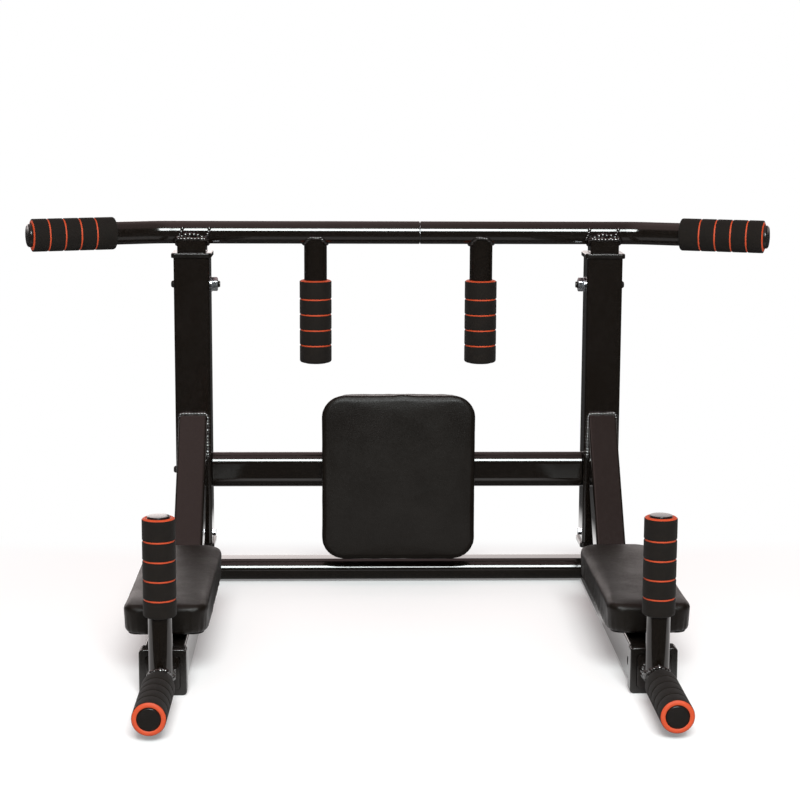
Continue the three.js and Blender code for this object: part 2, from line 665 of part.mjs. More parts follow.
function pullUpBar() {
  const bar = new THREE.Group();
  bar.position.y = postDepth;
  part.add(bar);
  for (const [side, name] of [[-1, 'left'], [1, 'right']]) {
    const stations = barHalfStations(side, BAR_SEAM_X + side * BAR_SEAM_GAP / 2);
    const half = tubeAlong(stations, BAR_R, barTubeBore);
    place(bar, `bar_half_${name}`, half, BLACK_PAINT, 0, 0, barAxisZ);
    place(bar, `bar_stub_${name}`, barStubGeometry(), BLACK_PAINT, side * frameX, 0, 0);
    place(bar, `hanging_tube_${name}`, hangTubeGeometry(), BLACK_PAINT, side * HANG_X, 0, 0);

    const end = stations[stations.length - 1];
    const outward = Math.atan2(end.tangent.x, -end.tangent.y);
    const tip = new THREE.Group();
    tip.position.set(end.point.x, end.point.y, barAxisZ);
    tip.rotation.z = outward;
    bar.add(tip);
    const grip = place(tip, `bar_grip_${name}`, gripGeometry(BAR_R, BAR_FOAM), FOAM);
    grip.rotation.x = -Math.PI / 2;
    const plug = place(tip, `bar_plug_${name}`, plugGeometry(BAR_R, TUBE_WALL, BAR_R, PLUG_DOME), BLACK_PLASTIC);
    plug.rotation.x = -Math.PI / 2;

    const hangGrip = place(bar, `hanging_grip_${name}`, gripGeometry(BAR_R, BAR_FOAM), FOAM, side * HANG_X, 0, hangGripTopZ);
    hangGrip.rotation.x = Math.PI;
    const hangPlug = plugGeometry(BAR_R, TUBE_WALL, BAR_R, FLUSH_DOME);
    place(bar, `hanging_plug_${name}`, hangPlug, BLACK_PLASTIC, side * HANG_X, 0, hangGripTopZ - GRIP_LENGTH);
  }
  const joinerR = barTubeBore - TOUCH;
  const joiner = roundTube(joinerR, joinerR - JOINER_WALL, JOINER_LENGTH)
    .translate(0, 0, -JOINER_LENGTH / 2)
    .rotateY(Math.PI / 2);
  place(bar, 'bar_joiner', joiner, BARE_STEEL, BAR_SEAM_X, 0, barAxisZ);
}

// Cross tubes
function crossTubes() {
  const midLength = FRAME_SPACING - SLEEVE - 2 * TOUCH;
  place(part, 'mid_cross_tube', crossTubeGeometry(midLength), BLACK_PAINT, 0, postDepth, MID_TUBE_Z);
  const lowLength = FRAME_SPACING - INNER - 2 * TOUCH;
  const low = place(part, 'low_cross_tube', crossTubeGeometry(lowLength), BLACK_PAINT, 0, lowTubeY, LOW_TUBE_Z);
  low.rotation.x = Math.PI / 2;
}

// Back pad with its board, on a plate at the front of the middle cross tube
function backPad() {
  const plateY = postDepth - OVAL_SHORT / 2 - TOUCH;
  const group = new THREE.Group();
  group.position.set(0, plateY, MID_TUBE_Z);
  group.rotation.x = Math.PI / 2;
  part.add(group);
  place(group, 'back_pad_plate', prism(roundedRect(PLATE_SIDE, PLATE_SIDE, PLATE_CORNER), PLATE_THICK), BLACK_PAINT);
  const boardBase = PLATE_THICK + TOUCH;
  const boardWidth = BACK_WIDTH - 2 * BOARD_INSET;
  const boardHeight = BACK_HEIGHT - 2 * BOARD_INSET;
  const board = prism(roundedRect(boardWidth, boardHeight, BOARD_CORNER), BOARD_THICK);
  place(group, 'back_pad_board', board, PLYWOOD, 0, -BACK_BELOW_TUBE, boardBase);
  const grown = roundedRect(boardWidth + 2 * TOUCH, boardHeight + 2 * TOUCH, BOARD_CORNER + TOUCH);
  const pocket = prism(grown, BOARD_THICK + TOUCH + OVERRUN).translate(0, 0, -OVERRUN);
  const cushion = padGeometry(BACK_WIDTH, BACK_HEIGHT, BACK_THICK - CROWN, BACK_CORNER);
  place(group, 'back_pad', carve(cushion, [pocket]), VINYL, 0, -BACK_BELOW_TUBE, boardBase);
}

for (const [side, name] of [[-1, 'left'], [1, 'right']]) {
  const frame = sideFrame(side, name);
  armPad(frame, name);
  dipHandle(side, name);
}
pullUpBar();
crossTubes();
backPad();

export default part;
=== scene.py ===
# %% [markdown]
# # A dip station, dressed in Blender
#
# The real object is a low black training frame: square steel sleeves, a wide bar that plugs
# into the posts, padded arms and pull-out handles with orange-ringed foam grips. Its solids
# come ready made as a fixed frame, with every piece in its place. This lesson gives each of
# them the rounding, welds, seams and finishes that a photograph shows, without moving one.
#
# The frame comes first. Its outer box is kept, so that the dressed object can be held to it.

import math

import bmesh
import bpy
import numpy as np
from mathutils import Matrix, Vector, noise


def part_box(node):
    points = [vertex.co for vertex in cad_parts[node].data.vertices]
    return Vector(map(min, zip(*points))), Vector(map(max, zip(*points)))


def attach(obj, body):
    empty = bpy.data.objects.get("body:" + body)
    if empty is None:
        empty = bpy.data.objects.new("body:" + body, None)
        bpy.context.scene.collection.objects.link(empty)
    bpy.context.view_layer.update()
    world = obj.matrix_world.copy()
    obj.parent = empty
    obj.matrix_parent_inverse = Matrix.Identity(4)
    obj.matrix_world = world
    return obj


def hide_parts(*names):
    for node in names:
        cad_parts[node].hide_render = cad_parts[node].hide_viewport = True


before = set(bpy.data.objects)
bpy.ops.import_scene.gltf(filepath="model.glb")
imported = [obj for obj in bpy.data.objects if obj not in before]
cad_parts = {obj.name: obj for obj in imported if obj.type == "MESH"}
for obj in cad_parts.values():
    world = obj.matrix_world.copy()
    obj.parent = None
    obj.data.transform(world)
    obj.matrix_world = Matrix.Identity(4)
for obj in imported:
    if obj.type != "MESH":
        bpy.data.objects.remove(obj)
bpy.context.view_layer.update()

# %% [markdown]
# Blender works in metres and the workshop in millimetres, so one factor joins the two. A
# piece that is rebuilt takes its place and size from the box of the solid that it stands
# for. Three small readers do that: lowest corner, highest corner and middle of a solid.

# %% Read sizes from the frame
MM = 0.001
SIDES = ((-1, "left"), (1, "right"))


def low(node):
    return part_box(node)[0]


def high(node):
    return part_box(node)[1]


def middle(node):
    return (low(node) + high(node)) / 2


FRAME_X = middle("post_right").x
POST_Y = middle("post_right").y
BAR_Z = middle("bar_joiner").z
print("frames stand", round(2 * FRAME_X / MM), "mm apart, the bar is", round(BAR_Z / MM), "mm up")

# %% [markdown]
# ## Shaders that several finishes share
#
# Paint, plastic and foam are never quite even. Painted steel has the fine ripple known as
# orange peel, foam has pores, vinyl has a pebbled grain. Each of these is a node group with
# named inputs, made once. A group only puts out values and colours. The shader itself stays
# in the material, where it can be read and changed.
#
# All patterns use Object coordinates: every piece keeps its origin in the same place, so
# they are real millimetres and don't stretch.

# %% A builder for shader groups
FLOAT, COLOR, VECTOR = "NodeSocketFloat", "NodeSocketColor", "NodeSocketVector"
MIX_A, MIX_B, MIX_OUT = 6, 7, 2  # where a Mix node keeps its colour sockets


def shader_group(name, inputs, outputs):
    group = bpy.data.node_groups.new(name, "ShaderNodeTree")
    for label, kind, value in inputs:
        socket = group.interface.new_socket(label, in_out="INPUT", socket_type=kind)
        if value is not None:
            socket.default_value = value
    for label, kind in outputs:
        group.interface.new_socket(label, in_out="OUTPUT", socket_type=kind)
    start, end = group.nodes.new("NodeGroupInput"), group.nodes.new("NodeGroupOutput")
    return group, start.outputs, end.inputs


def add_node(tree, kind, inputs=(), **settings):
    node = tree.nodes.new(kind)
    for key, value in settings.items():
        setattr(node, key, value)
    for key, value in dict(inputs).items():
        if isinstance(value, bpy.types.NodeSocket):
            tree.links.new(value, node.inputs[key])
        else:
            node.inputs[key].default_value = value
    return node


def per_size(tree, size):
    """The scale of a pattern whose cells are size mm wide."""
    return add_node(tree, "ShaderNodeMath", {0: 1 / MM, 1: size}, operation="DIVIDE").outputs[0]


def times(tree, a, b):
    return add_node(tree, "ShaderNodeMath", {0: a, 1: b}, operation="MULTIPLY").outputs[0]


def ramp(tree, value, start, stop, first=0, last=1, soft=True):
    """Goes from first to last while value goes from start to stop."""
    ends = {0: value, 1: start, 2: stop, 3: first, 4: last}
    kind = "SMOOTHSTEP" if soft else "LINEAR"
    return add_node(tree, "ShaderNodeMapRange", ends, interpolation_type=kind).outputs[0]


print("node tools ready")

# %% [markdown]
# Uneven tint: a slow noise for smudges, with a fast one in it for specks. It moves a colour a
# little towards a second one, and gives a mask that roughness can follow.

# %% Group: uneven tint
tint_group, gi, go = shader_group(
    "uneven tint",
    [
        ("Vector", VECTOR, None),
        ("Colour", COLOR, (0.1, 0.1, 0.1, 1)),
        ("Second colour", COLOR, (0.2, 0.2, 0.2, 1)),
        ("Smudge size mm", FLOAT, 60),
        ("Speck size mm", FLOAT, 2),
        ("Amount", FLOAT, 0.3),
    ],
    [("Colour", COLOR), ("Mask", FLOAT)],
)
slow_scale = per_size(tint_group, gi["Smudge size mm"])
fast_scale = per_size(tint_group, gi["Speck size mm"])
slow = add_node(tint_group, "ShaderNodeTexNoise", {"Vector": gi["Vector"], "Scale": slow_scale})
fast = add_node(tint_group, "ShaderNodeTexNoise", {"Vector": gi["Vector"], "Scale": fast_scale})
together = times(tint_group, slow.outputs[0], fast.outputs[0])
spread = ramp(tint_group, together, 0.15, 0.4, soft=False)
tinted = add_node(
    tint_group,
    "ShaderNodeMix",
    {0: times(tint_group, spread, gi["Amount"]), MIX_A: gi["Colour"], MIX_B: gi["Second colour"]},
    data_type="RGBA",
)
tint_group.links.new(tinted.outputs[MIX_OUT], go["Colour"])
tint_group.links.new(spread, go["Mask"])
print("group:", tint_group.name, "with", len(tint_group.nodes), "nodes")

# %% [markdown]
# Pebble grain: rounded cells with fine creases between them, as on upholstery vinyl, and at a
# smaller size on moulded plastic. It puts out a height, which the material turns into bumps.

# %% Group: pebble grain
grain_group, gi, go = shader_group(
    "pebble grain",
    [("Vector", VECTOR, None), ("Pebble size mm", FLOAT, 1.2), ("Crease share", FLOAT, 0.5)],
    [("Height", FLOAT)],
)
pebble_scale = per_size(grain_group, gi["Pebble size mm"])
bend_values = {"Vector": gi["Vector"], "Scale": pebble_scale, "Detail": 2}
bend = add_node(grain_group, "ShaderNodeTexNoise", bend_values)
a_little = {0: bend.outputs["Color"], 1: (MM, MM, MM)}
shifted = add_node(grain_group, "ShaderNodeVectorMath", a_little, operation="MULTIPLY")
both = {0: gi["Vector"], 1: shifted.outputs[0]}
warped = add_node(grain_group, "ShaderNodeVectorMath", both, operation="ADD")
cells = add_node(
    grain_group,
    "ShaderNodeTexVoronoi",
    {"Vector": warped.outputs[0], "Scale": pebble_scale},
    feature="DISTANCE_TO_EDGE",
)
crease = ramp(grain_group, cells.outputs["Distance"], 0, gi["Crease share"])
grain_group.links.new(crease, go["Height"])
print("group:", grain_group.name, "with", len(grain_group.nodes), "nodes")

# %% [markdown]
# Settled dust: a thin pale veil where a surface looks up. It reads the surface's own normal,
# so it lies on the tops of the arms and pads and leaves the sides clean.

# %% Group: settled dust
dust_group, gi, go = shader_group(
    "settled dust",
    [
        ("Vector", VECTOR, None),
        ("Colour", COLOR, (0.02, 0.02, 0.02, 1)),
        ("Dust", COLOR, (0.4, 0.38, 0.36, 1)),
        ("Amount", FLOAT, 0.02),
    ],
    [("Colour", COLOR)],
)
normal = add_node(dust_group, "ShaderNodeNewGeometry").outputs["Normal"]
facing = add_node(dust_group, "ShaderNodeSeparateXYZ", {0: normal})
upward = ramp(dust_group, facing.outputs["Z"], 0.5, 1)
cloud_values = {"Vector": gi["Vector"], "Scale": 40, "Detail": 4}
cloud = add_node(dust_group, "ShaderNodeTexNoise", cloud_values)
veil = times(dust_group, times(dust_group, upward, cloud.outputs[0]), gi["Amount"])
shades = {0: veil, MIX_A: gi["Colour"], MIX_B: gi["Dust"]}
dusted = add_node(dust_group, "ShaderNodeMix", shades, data_type="RGBA")
dust_group.links.new(dusted.outputs[MIX_OUT], go["Colour"])
print("group:", dust_group.name, "with", len(dust_group.nodes), "nodes")

# %% [markdown]
# ## Finishes
#
# One function lays out what all the finishes have in common: an uneven tint, dust, a
# roughness that follows the smudges, and bumps. Each finish then has its own numbers.


# %% A builder for finishes
def finish(
    name,
    colour,
    second,
    roughness,
    smooth_by=0.0,
    metallic=0.0,
    tint=0.3,
    smudge=60,
    speck=2,
    dust=0.0,
    grain=None,
    ripple=None,
    **principled,
):
    """grain = (pebble size mm, crease share, depth mm), ripple = (size mm, depth mm)."""
    material = bpy.data.materials.new(name)
    material.use_nodes = True
    tree = material.node_tree
    shader = tree.nodes["Principled BSDF"]
    place = add_node(tree, "ShaderNodeTexCoord").outputs["Object"]
    uneven = add_node(tree, "ShaderNodeGroup", node_tree=tint_group)
    values = {
        "Colour": (*colour, 1),
        "Second colour": (*second, 1),
        "Smudge size mm": smudge,
        "Speck size mm": speck,
        "Amount": tint,
    }
    for label, value in values.items():
        uneven.inputs[label].default_value = value
    tree.links.new(place, uneven.inputs["Vector"])
    settled = add_node(tree, "ShaderNodeGroup", node_tree=dust_group)
    settled.inputs["Amount"].default_value = dust
    tree.links.new(place, settled.inputs["Vector"])
    tree.links.new(uneven.outputs["Colour"], settled.inputs["Colour"])
    tree.links.new(settled.outputs["Colour"], shader.inputs["Base Color"])
    smoothest, dullest = roughness - smooth_by, roughness + smooth_by
    gloss = ramp(tree, uneven.outputs["Mask"], 0, 1, smoothest, dullest, soft=False)
    tree.links.new(gloss, shader.inputs["Roughness"])
    normal = None
    if ripple:
        wave_values = {"Vector": place, "Scale": 1 / (ripple[0] * MM), "Detail": 1}
        waves = add_node(tree, "ShaderNodeTexNoise", wave_values)
        relief = {"Height": waves.outputs[0], "Distance": ripple[1] * MM, "Strength": 1}
        bump = add_node(tree, "ShaderNodeBump", relief)
        normal = bump.outputs["Normal"]
    if grain:
        pebbles = add_node(tree, "ShaderNodeGroup", node_tree=grain_group)
        pebbles.inputs["Pebble size mm"].default_value = grain[0]
        pebbles.inputs["Crease share"].default_value = grain[1]
        tree.links.new(place, pebbles.inputs["Vector"])
        relief = {"Height": pebbles.outputs["Height"], "Distance": grain[2] * MM, "Strength": 1}
        bump = add_node(tree, "ShaderNodeBump", relief)
        if normal:
            tree.links.new(normal, bump.inputs["Normal"])
        normal = bump.outputs["Normal"]
    if normal:
        tree.links.new(normal, shader.inputs["Normal"])
    shader.inputs["Metallic"].default_value = metallic
    for label, value in principled.items():
        shader.inputs[label.replace("_", " ")].default_value = value
    print("finish:", name)
    return material


# %% [markdown]
# The paint is a deep gloss black that mirrors the lamps as crisp lines. Its ripple is a
# hundredth of a millimetre deep, enough to unsettle a reflection and too little to see as
# lumps. Over a weld the paint pools, so it is smoother still there and glints more. The
# blacks are slightly warm, as soot-black pigment is.

# %% Paint
PAINT = finish(
    "gloss_black_paint", (0.005, 0.0036, 0.0026), (0.008, 0.0062, 0.0052), 0.11,
    smooth_by=0.03, tint=0.5, smudge=90, speck=6, dust=0.012, ripple=(5, 0.01), IOR=1.52,
)
WELD_PAINT = finish(
    "painted_weld", (0.0062, 0.005, 0.0042), (0.012, 0.01, 0.009), 0.07,
    smooth_by=0.02, tint=0.5, smudge=8, speck=1, ripple=(4, 0.03), IOR=2,
)
print("paint:", PAINT.name, WELD_PAINT.name)

# %% [markdown]
# Collars are moulded with a fine spark texture, and the plugs of the tubes come out of a
# smoother mould. Foam is the dullest finish: it scatters nearly all its light, and a little
# sheen lifts its rim. Its pores are a grain with deep creases.

# %% Plastic and foam
PLASTIC = finish(
    "black_plastic", (0.005, 0.0038, 0.003), (0.0085, 0.007, 0.006), 0.24,
    smooth_by=0.05, tint=0.4, smudge=30, speck=1, dust=0.01, grain=(0.5, 0.6, 0.008),
)
FOAM = finish(
    "black_foam", (0.0048, 0.0031, 0.002), (0.01, 0.0072, 0.0052), 0.92,
    smooth_by=0.05, tint=0.6, smudge=12, speck=0.6, grain=(0.55, 0.9, 0.09),
    ripple=(7, 0.25), Specular_IOR_Level=0.25, Sheen_Weight=0.02,
)
RING = finish(
    "orange_foam", (0.47, 0.054, 0.012), (0.34, 0.035, 0.008), 0.62,
    smooth_by=0.06, tint=0.5, smudge=9, speck=0.7, grain=(0.6, 0.8, 0.04),
    Specular_IOR_Level=0.35,
)
CAP_PLASTIC = finish(
    "satin_cap_plastic", (0.0085, 0.0072, 0.0064), (0.014, 0.012, 0.011), 0.2,
    smooth_by=0.04, tint=0.4, smudge=30, speck=1, dust=0.01, grain=(0.4, 0.6, 0.003),
    Specular_IOR_Level=0.45,
)
print("plastic and foam:", PLASTIC.name, FOAM.name, RING.name, CAP_PLASTIC.name)

# %% [markdown]
# The pads are covered in vinyl: a two millimetre pebble grain over a slow waviness, with a
# soft gloss. Under the arm pads a plain black cloth hides the board.

# %% Vinyl and cloth
VINYL = finish(
    "grained_vinyl", (0.0036, 0.0022, 0.0011), (0.0068, 0.0046, 0.003), 0.47,
    smooth_by=0.06, tint=0.5, smudge=45, speck=2, dust=0.012, grain=(2, 0.5, 0.1),
    ripple=(14, 0.3), Specular_IOR_Level=0.23,
)
BACKING = finish(
    "black_backing_cloth", (0.006, 0.0055, 0.005), (0.014, 0.013, 0.012), 0.9,
    smooth_by=0.04, tint=0.6, smudge=10, speck=0.8, grain=(0.9, 0.9, 0.06),
    Specular_IOR_Level=0.15,
)
print("vinyl and cloth:", VINYL.name, BACKING.name)

# %% [markdown]
# Bare metals: blackened bolt heads, bright zinc on nuts, screws and staples, and the drawn
# steel of the piece that joins the bar's halves inside.

# %% Bare metals
BLACK_STEEL = finish(
    "blackened_steel", (0.02, 0.0185, 0.0175), (0.05, 0.048, 0.046), 0.3,
    smooth_by=0.08, metallic=0.6, tint=0.6, smudge=4, speck=0.5,
)
ZINC = finish(
    "bright_zinc", (0.56, 0.57, 0.6), (0.4, 0.41, 0.44), 0.28,
    smooth_by=0.1, metallic=1, tint=0.6, smudge=5, speck=0.4, ripple=(0.8, 0.01),
)
STEEL = finish(
    "drawn_steel", (0.32, 0.32, 0.33), (0.2, 0.2, 0.2), 0.4,
    smooth_by=0.1, metallic=1, tint=0.6, smudge=20, speck=1, ripple=(1, 0.01),
)
print("bare metals:", BLACK_STEEL.name, ZINC.name, STEEL.name)

# %% [markdown]
# Plywood is the one finish with a direction: its grain runs along X, so the noise that makes
# it is stretched ten times that way by a Mapping node. It shows only behind the back pad.

# %% Plywood
PLYWOOD = bpy.data.materials.new("raw_plywood")
PLYWOOD.use_nodes = True
tree = PLYWOOD.node_tree
place = add_node(tree, "ShaderNodeTexCoord").outputs["Object"]
along = add_node(tree, "ShaderNodeMapping", {"Vector": place, "Scale": (0.1, 1, 1)})
fibre_values = {"Vector": along.outputs[0], "Scale": 420, "Detail": 6, "Distortion": 0.6}
fibre = add_node(tree, "ShaderNodeTexNoise", fibre_values)
DARK_WOOD, PALE_WOOD = (0.3, 0.18, 0.085, 1), (0.56, 0.39, 0.22, 1)
shades = {0: fibre.outputs[0], MIX_A: DARK_WOOD, MIX_B: PALE_WOOD}
tone = add_node(tree, "ShaderNodeMix", shades, data_type="RGBA")
relief = add_node(tree, "ShaderNodeBump", {"Height": fibre.outputs[0], "Distance": 0.15 * MM})
shader = tree.nodes["Principled BSDF"]
tree.links.new(tone.outputs[MIX_OUT], shader.inputs["Base Color"])
tree.links.new(relief.outputs[0], shader.inputs["Normal"])
shader.inputs["Roughness"].default_value = 0.75
print("finish:", PLYWOOD.name)

# %% [markdown]
# ## Shells from rings
#
# Nearly everything here is a tube, a collar or a turned piece. All of them are rings of
# points joined into a skin, so one function is enough: give it rings of equal count and it
# closes them into a solid. A tube's rings go down the outside and come back up the bore.
#
# Flat faces next to small rounded corners shade badly when normals are averaged. A Weighted
# Normal modifier gives the big faces the say, so a flat wall stays flat in its reflections.

# %% Outlines and shells
CORNER_STEPS = 6
SHARP = math.radians(32)


def circle(radius, sides=64):
    turns = [2 * math.pi * k / sides for k in range(sides)]
    return [(radius * math.cos(t), radius * math.sin(t)) for t in turns]


def rounded(width, height, radius, steps=CORNER_STEPS):
    """A rectangle with round corners, as a list of points."""
    points = []
    for quarter, (sx, sy) in enumerate(((1, 1), (-1, 1), (-1, -1), (1, -1))):
        for k in range(steps + 1):
            t = (quarter + k / steps) * math.pi / 2
            x = sx * (width / 2 - radius) + radius * math.cos(t)
            y = sy * (height / 2 - radius) + radius * math.sin(t)
            points.append((x, y))
    return points


def shell(name, rings, material, closed=False):
    """Joins rings of equal count into a skin. closed joins the last ring to the first."""
    mesh = bpy.data.meshes.new(name)
    count = len(rings[0])
    corners = [point for ring in rings for point in ring]
    faces = []
    for r in range(len(rings) if closed else len(rings) - 1):
        a, b = r * count, (r + 1) % len(rings) * count
        faces += [(a + k, a + (k + 1) % count, b + (k + 1) % count, b + k) for k in range(count)]
    if not closed:
        faces += [tuple(range(count)), tuple(range(len(corners) - count, len(corners)))]
    mesh.from_pydata(corners, [], faces)
    solid = bmesh.new()
    solid.from_mesh(mesh)
    bmesh.ops.remove_doubles(solid, verts=solid.verts, dist=0.001 * MM)
    bmesh.ops.dissolve_degenerate(solid, edges=solid.edges, dist=0.0005 * MM)
    bmesh.ops.recalc_face_normals(solid, faces=solid.faces)
    solid.to_mesh(mesh)
    solid.free()
    mesh.materials.append(material)
    piece = bpy.data.objects.new(name, mesh)
    bpy.context.scene.collection.objects.link(piece)
    return piece


def dress(piece, body, slot, *stands_for, weighted=True):
    """Smooth shading, the body that carries the piece and the solids it hides. slot is not used."""
    piece.data.shade_smooth()
    piece.data.set_sharp_from_angle(angle=SHARP)
    if weighted:
        even = piece.modifiers.new("even normals", "WEIGHTED_NORMAL")
        even.keep_sharp = True
    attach(piece, body)
    if stands_for:
        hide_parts(*stands_for)
    return piece


def lay(points, origin, across, up):
    """Puts flat points into space."""
    return [Vector(origin) + Vector(across) * x + Vector(up) * y for x, y in points]


def tube(name, outer, inner, ends, across, up, material):
    """A hollow bar between two points."""
    rings = [lay(outer, ends[0], across, up), lay(outer, ends[1], across, up)]
    rings += [lay(inner, ends[1], across, up), lay(inner, ends[0], across, up)]
    return shell(name, rings, material, closed=True)


def turned(name, profile, matrix, material, sides=48):
    """A lathe piece: profile is (radius, height) from axis to axis, or closed on itself."""
    rings = [[matrix @ Vector((x, y, z)) for x, y in circle(r, sides)] for r, z in profile]
    closed = profile[0][0] > 0
    return shell(name, rings, material, closed=closed)


def towards(origin, direction):
    """A matrix whose Z axis points along direction."""
    turn = Vector(direction).to_track_quat("Z", "Y").to_matrix().to_4x4()
    return Matrix.Translation(origin) @ turn


X, Y, Z = Vector((1, 0, 0)), Vector((0, 1, 0)), Vector((0, 0, 1))
print("shell tools ready")

# %% [markdown]
# Bolt holes are cut last, with the Boolean modifier. It is applied at once, so that the piece
# carries a plain mesh and no cutter stays in the file.


# %% Drill holes
def drill(piece, holes, radius, axis, length):
    """Cuts round holes through piece. holes are points on their axes."""
    half, material = length / 2, piece.data.materials[0]
    profile = [(0, -half), (radius, -half), (radius, half), (0, half)]
    for place in holes:
        bit = turned("bit", profile, towards(place, axis), material, sides=32)
        cut = piece.modifiers.new("hole", "BOOLEAN")
        cut.operation, cut.solver, cut.object = "DIFFERENCE", "EXACT", bit
        graph = bpy.context.evaluated_depsgraph_get()
        drilled = bpy.data.meshes.new_from_object(piece.evaluated_get(graph))
        piece.modifiers.clear()
        piece.data = drilled
        bpy.data.objects.remove(bit)
    print(piece.name, "has", len(holes), "holes")


# %% [markdown]
# ## Side frames
#
# Post and arm are 50 mm sleeves with a 2 mm wall, and the upright behind them is a 40 mm
# tube. All have rounded corners, which a plain box would lack: they are what draws the thin
# bright line down each edge. The sleeves are drilled for their bolts.

# %% Sleeves and uprights
WALL = 2 * MM
SLEEVE_SIDE, SLEEVE_CORNER = 50 * MM, 4.5 * MM
INNER_SIDE, INNER_CORNER = 40 * MM, 4 * MM
BOLT_HOLE = 5.4 * MM


def square(side, corner):
    return rounded(side, side, corner), rounded(side - 2 * WALL, side - 2 * WALL, corner - WALL)


for side, name in SIDES:
    x = side * FRAME_X
    node = f"post_{name}"
    ends = [(x, POST_Y, low(node).z), (x, POST_Y, high(node).z)]
    post = tube(f"sleeve_post_{name}", *square(SLEEVE_SIDE, SLEEVE_CORNER), ends, X, Y, PAINT)
    holes = [middle(f"bar_bolt_{name}"), middle(f"cross_tube_bolt_{name}")]
    drill(post, holes, BOLT_HOLE, X, 2 * SLEEVE_SIDE)
    dress(post, "frame", "black_paint", node)
    node = f"arm_{name}"
    ends = [(x, low(node).y, middle(node).z), (x, high(node).y, middle(node).z)]
    arm = tube(f"sleeve_arm_{name}", *square(SLEEVE_SIDE, SLEEVE_CORNER), ends, X, Z, PAINT)
    drill(arm, [middle(f"arm_bolt_{name}")], BOLT_HOLE, X, 2 * SLEEVE_SIDE)
    dress(arm, "frame", "black_paint", node)
    node = f"upright_{name}"
    ends = [(x, POST_Y, low(node).z), (x, POST_Y, high(node).z)]
    upright = tube(f"rear_upright_{name}", *square(INNER_SIDE, INNER_CORNER), ends, X, Y, PAINT)
    dress(upright, "frame", "black_paint", node)
print("sleeves and uprights done")

# %% [markdown]
# The brace is a 40 mm tube, cut at a slant to sit on the post and on the arm. Its rings are
# found by running each point of its outline along the brace until it meets the post's face
# or the arm's top. That gives both slanted cuts without a Boolean.

# %% Braces
BRACE_ANGLE = math.radians(38)
POST_FRONT = low("post_left").y
ARM_TOP = high("arm_left").z
brace_run = Vector((0, -math.sin(BRACE_ANGLE), -math.cos(BRACE_ANGLE)))
brace_up = Vector((0, -math.cos(BRACE_ANGLE), math.sin(BRACE_ANGLE)))
brace_front_top = Vector((0, POST_FRONT, high("brace_left").z))
brace_middle = brace_front_top - brace_up * INNER_SIDE / 2


def onto_plane(point, run, plane_point, normal):
    """Slides a point along run until it lies on a plane."""
    return point + run * ((Vector(plane_point) - point).dot(normal) / run.dot(normal))


def on_post(ring):
    return [onto_plane(p, brace_run, (0, POST_FRONT, 0), Y) for p in ring]


def on_arm(ring):
    return [onto_plane(p, brace_run, (0, 0, ARM_TOP), Z) for p in ring]


for side, name in SIDES:
    at = Vector((side * FRAME_X, 0, 0)) + brace_middle
    outer, inner = (lay(outline, at, X, brace_up) for outline in square(INNER_SIDE, INNER_CORNER))
    rings = [on_post(outer), on_arm(outer), on_arm(inner), on_post(inner)]
    brace = shell(f"brace_tube_{name}", rings, PAINT, closed=True)
    dress(brace, "frame", "black_paint", f"brace_{name}")
print("braces run at", round(math.degrees(BRACE_ANGLE)), "degrees from upright")

# %% [markdown]
# ## Collars and feet
#
# Black plastic collars close the gap between the 50 mm sleeves and the 40 mm tubes. Their
# flanges have soft edges, which catch the light as a thin line in the photograph. The rings
# of a collar go round its whole section: from the bore out to the bush, over the flange and
# back to the bore. Each ring is a side length, a corner radius and a height.

# %% Collars
COLLAR_EDGE = 1.6 * MM
COLLAR_GAP = 0.3 * MM
BUSH_SIDE = SLEEVE_SIDE - 2 * WALL - 0.6 * MM
BORE_SIDE = INNER_SIDE + 0.6 * MM


def collar(name, node, mouth, out, across, up):
    """mouth is the middle of the sleeve's end, and out points out of it."""
    box_low, box_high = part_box(node)
    reach = [(Vector(c) - mouth).dot(out) for c in (box_low, box_high)]
    front, back = max(reach), min(reach)
    flange = 2 * max(abs((box_high - mouth).dot(across)), abs((box_low - mouth).dot(across)))
    section = [
        (BORE_SIDE, 4 * MM, back),
        (BUSH_SIDE, 3 * MM, back),
        (BUSH_SIDE, 3 * MM, COLLAR_GAP),
        (flange - COLLAR_EDGE, 5 * MM, COLLAR_GAP),
        (flange, 5 * MM, COLLAR_GAP + COLLAR_EDGE / 2),
    ]
    for k in range(5):
        t = math.pi / 2 * k / 4
        inset = COLLAR_EDGE * (1 - math.cos(t))
        section.append((flange - 2 * inset, 5 * MM, front - COLLAR_EDGE * (1 - math.sin(t))))
    section += [(BORE_SIDE + 0.5 * MM, 4.2 * MM, front), (BORE_SIDE, 4 * MM, front - 0.4 * MM)]
    rings = [lay(rounded(s, s, r), mouth + out * h, across, up) for s, r, h in section]
    return shell(name, rings, PLASTIC, closed=True)


for side, name in SIDES:
    x = side * FRAME_X
    post_low, post_high = low(f"post_{name}").z, high(f"post_{name}").z
    arm_end = low(f"arm_{name}").y
    arm_z = middle(f"arm_{name}").z
    for spot, stem, mouth, out, up in (
        ("top", "post_top_collar", (x, POST_Y, post_high), Z, Y),
        ("bottom", "post_bottom_collar", (x, POST_Y, post_low), -Z, Y),
        ("front", "arm_collar", (x, arm_end, arm_z), -Y, Z),
    ):
        node = f"{stem}_{name}"
        piece = collar(f"collar_{spot}_{name}", node, Vector(mouth), out, X, up)
        dress(piece, "frame", "black_plastic", node)
print("collars:", 6)

# %% [markdown]
# A foot is a plug in the lower end of the upright. Only its lowest part shows, and that has a
# soft edge all round, so that it doesn't cut a floor mat.

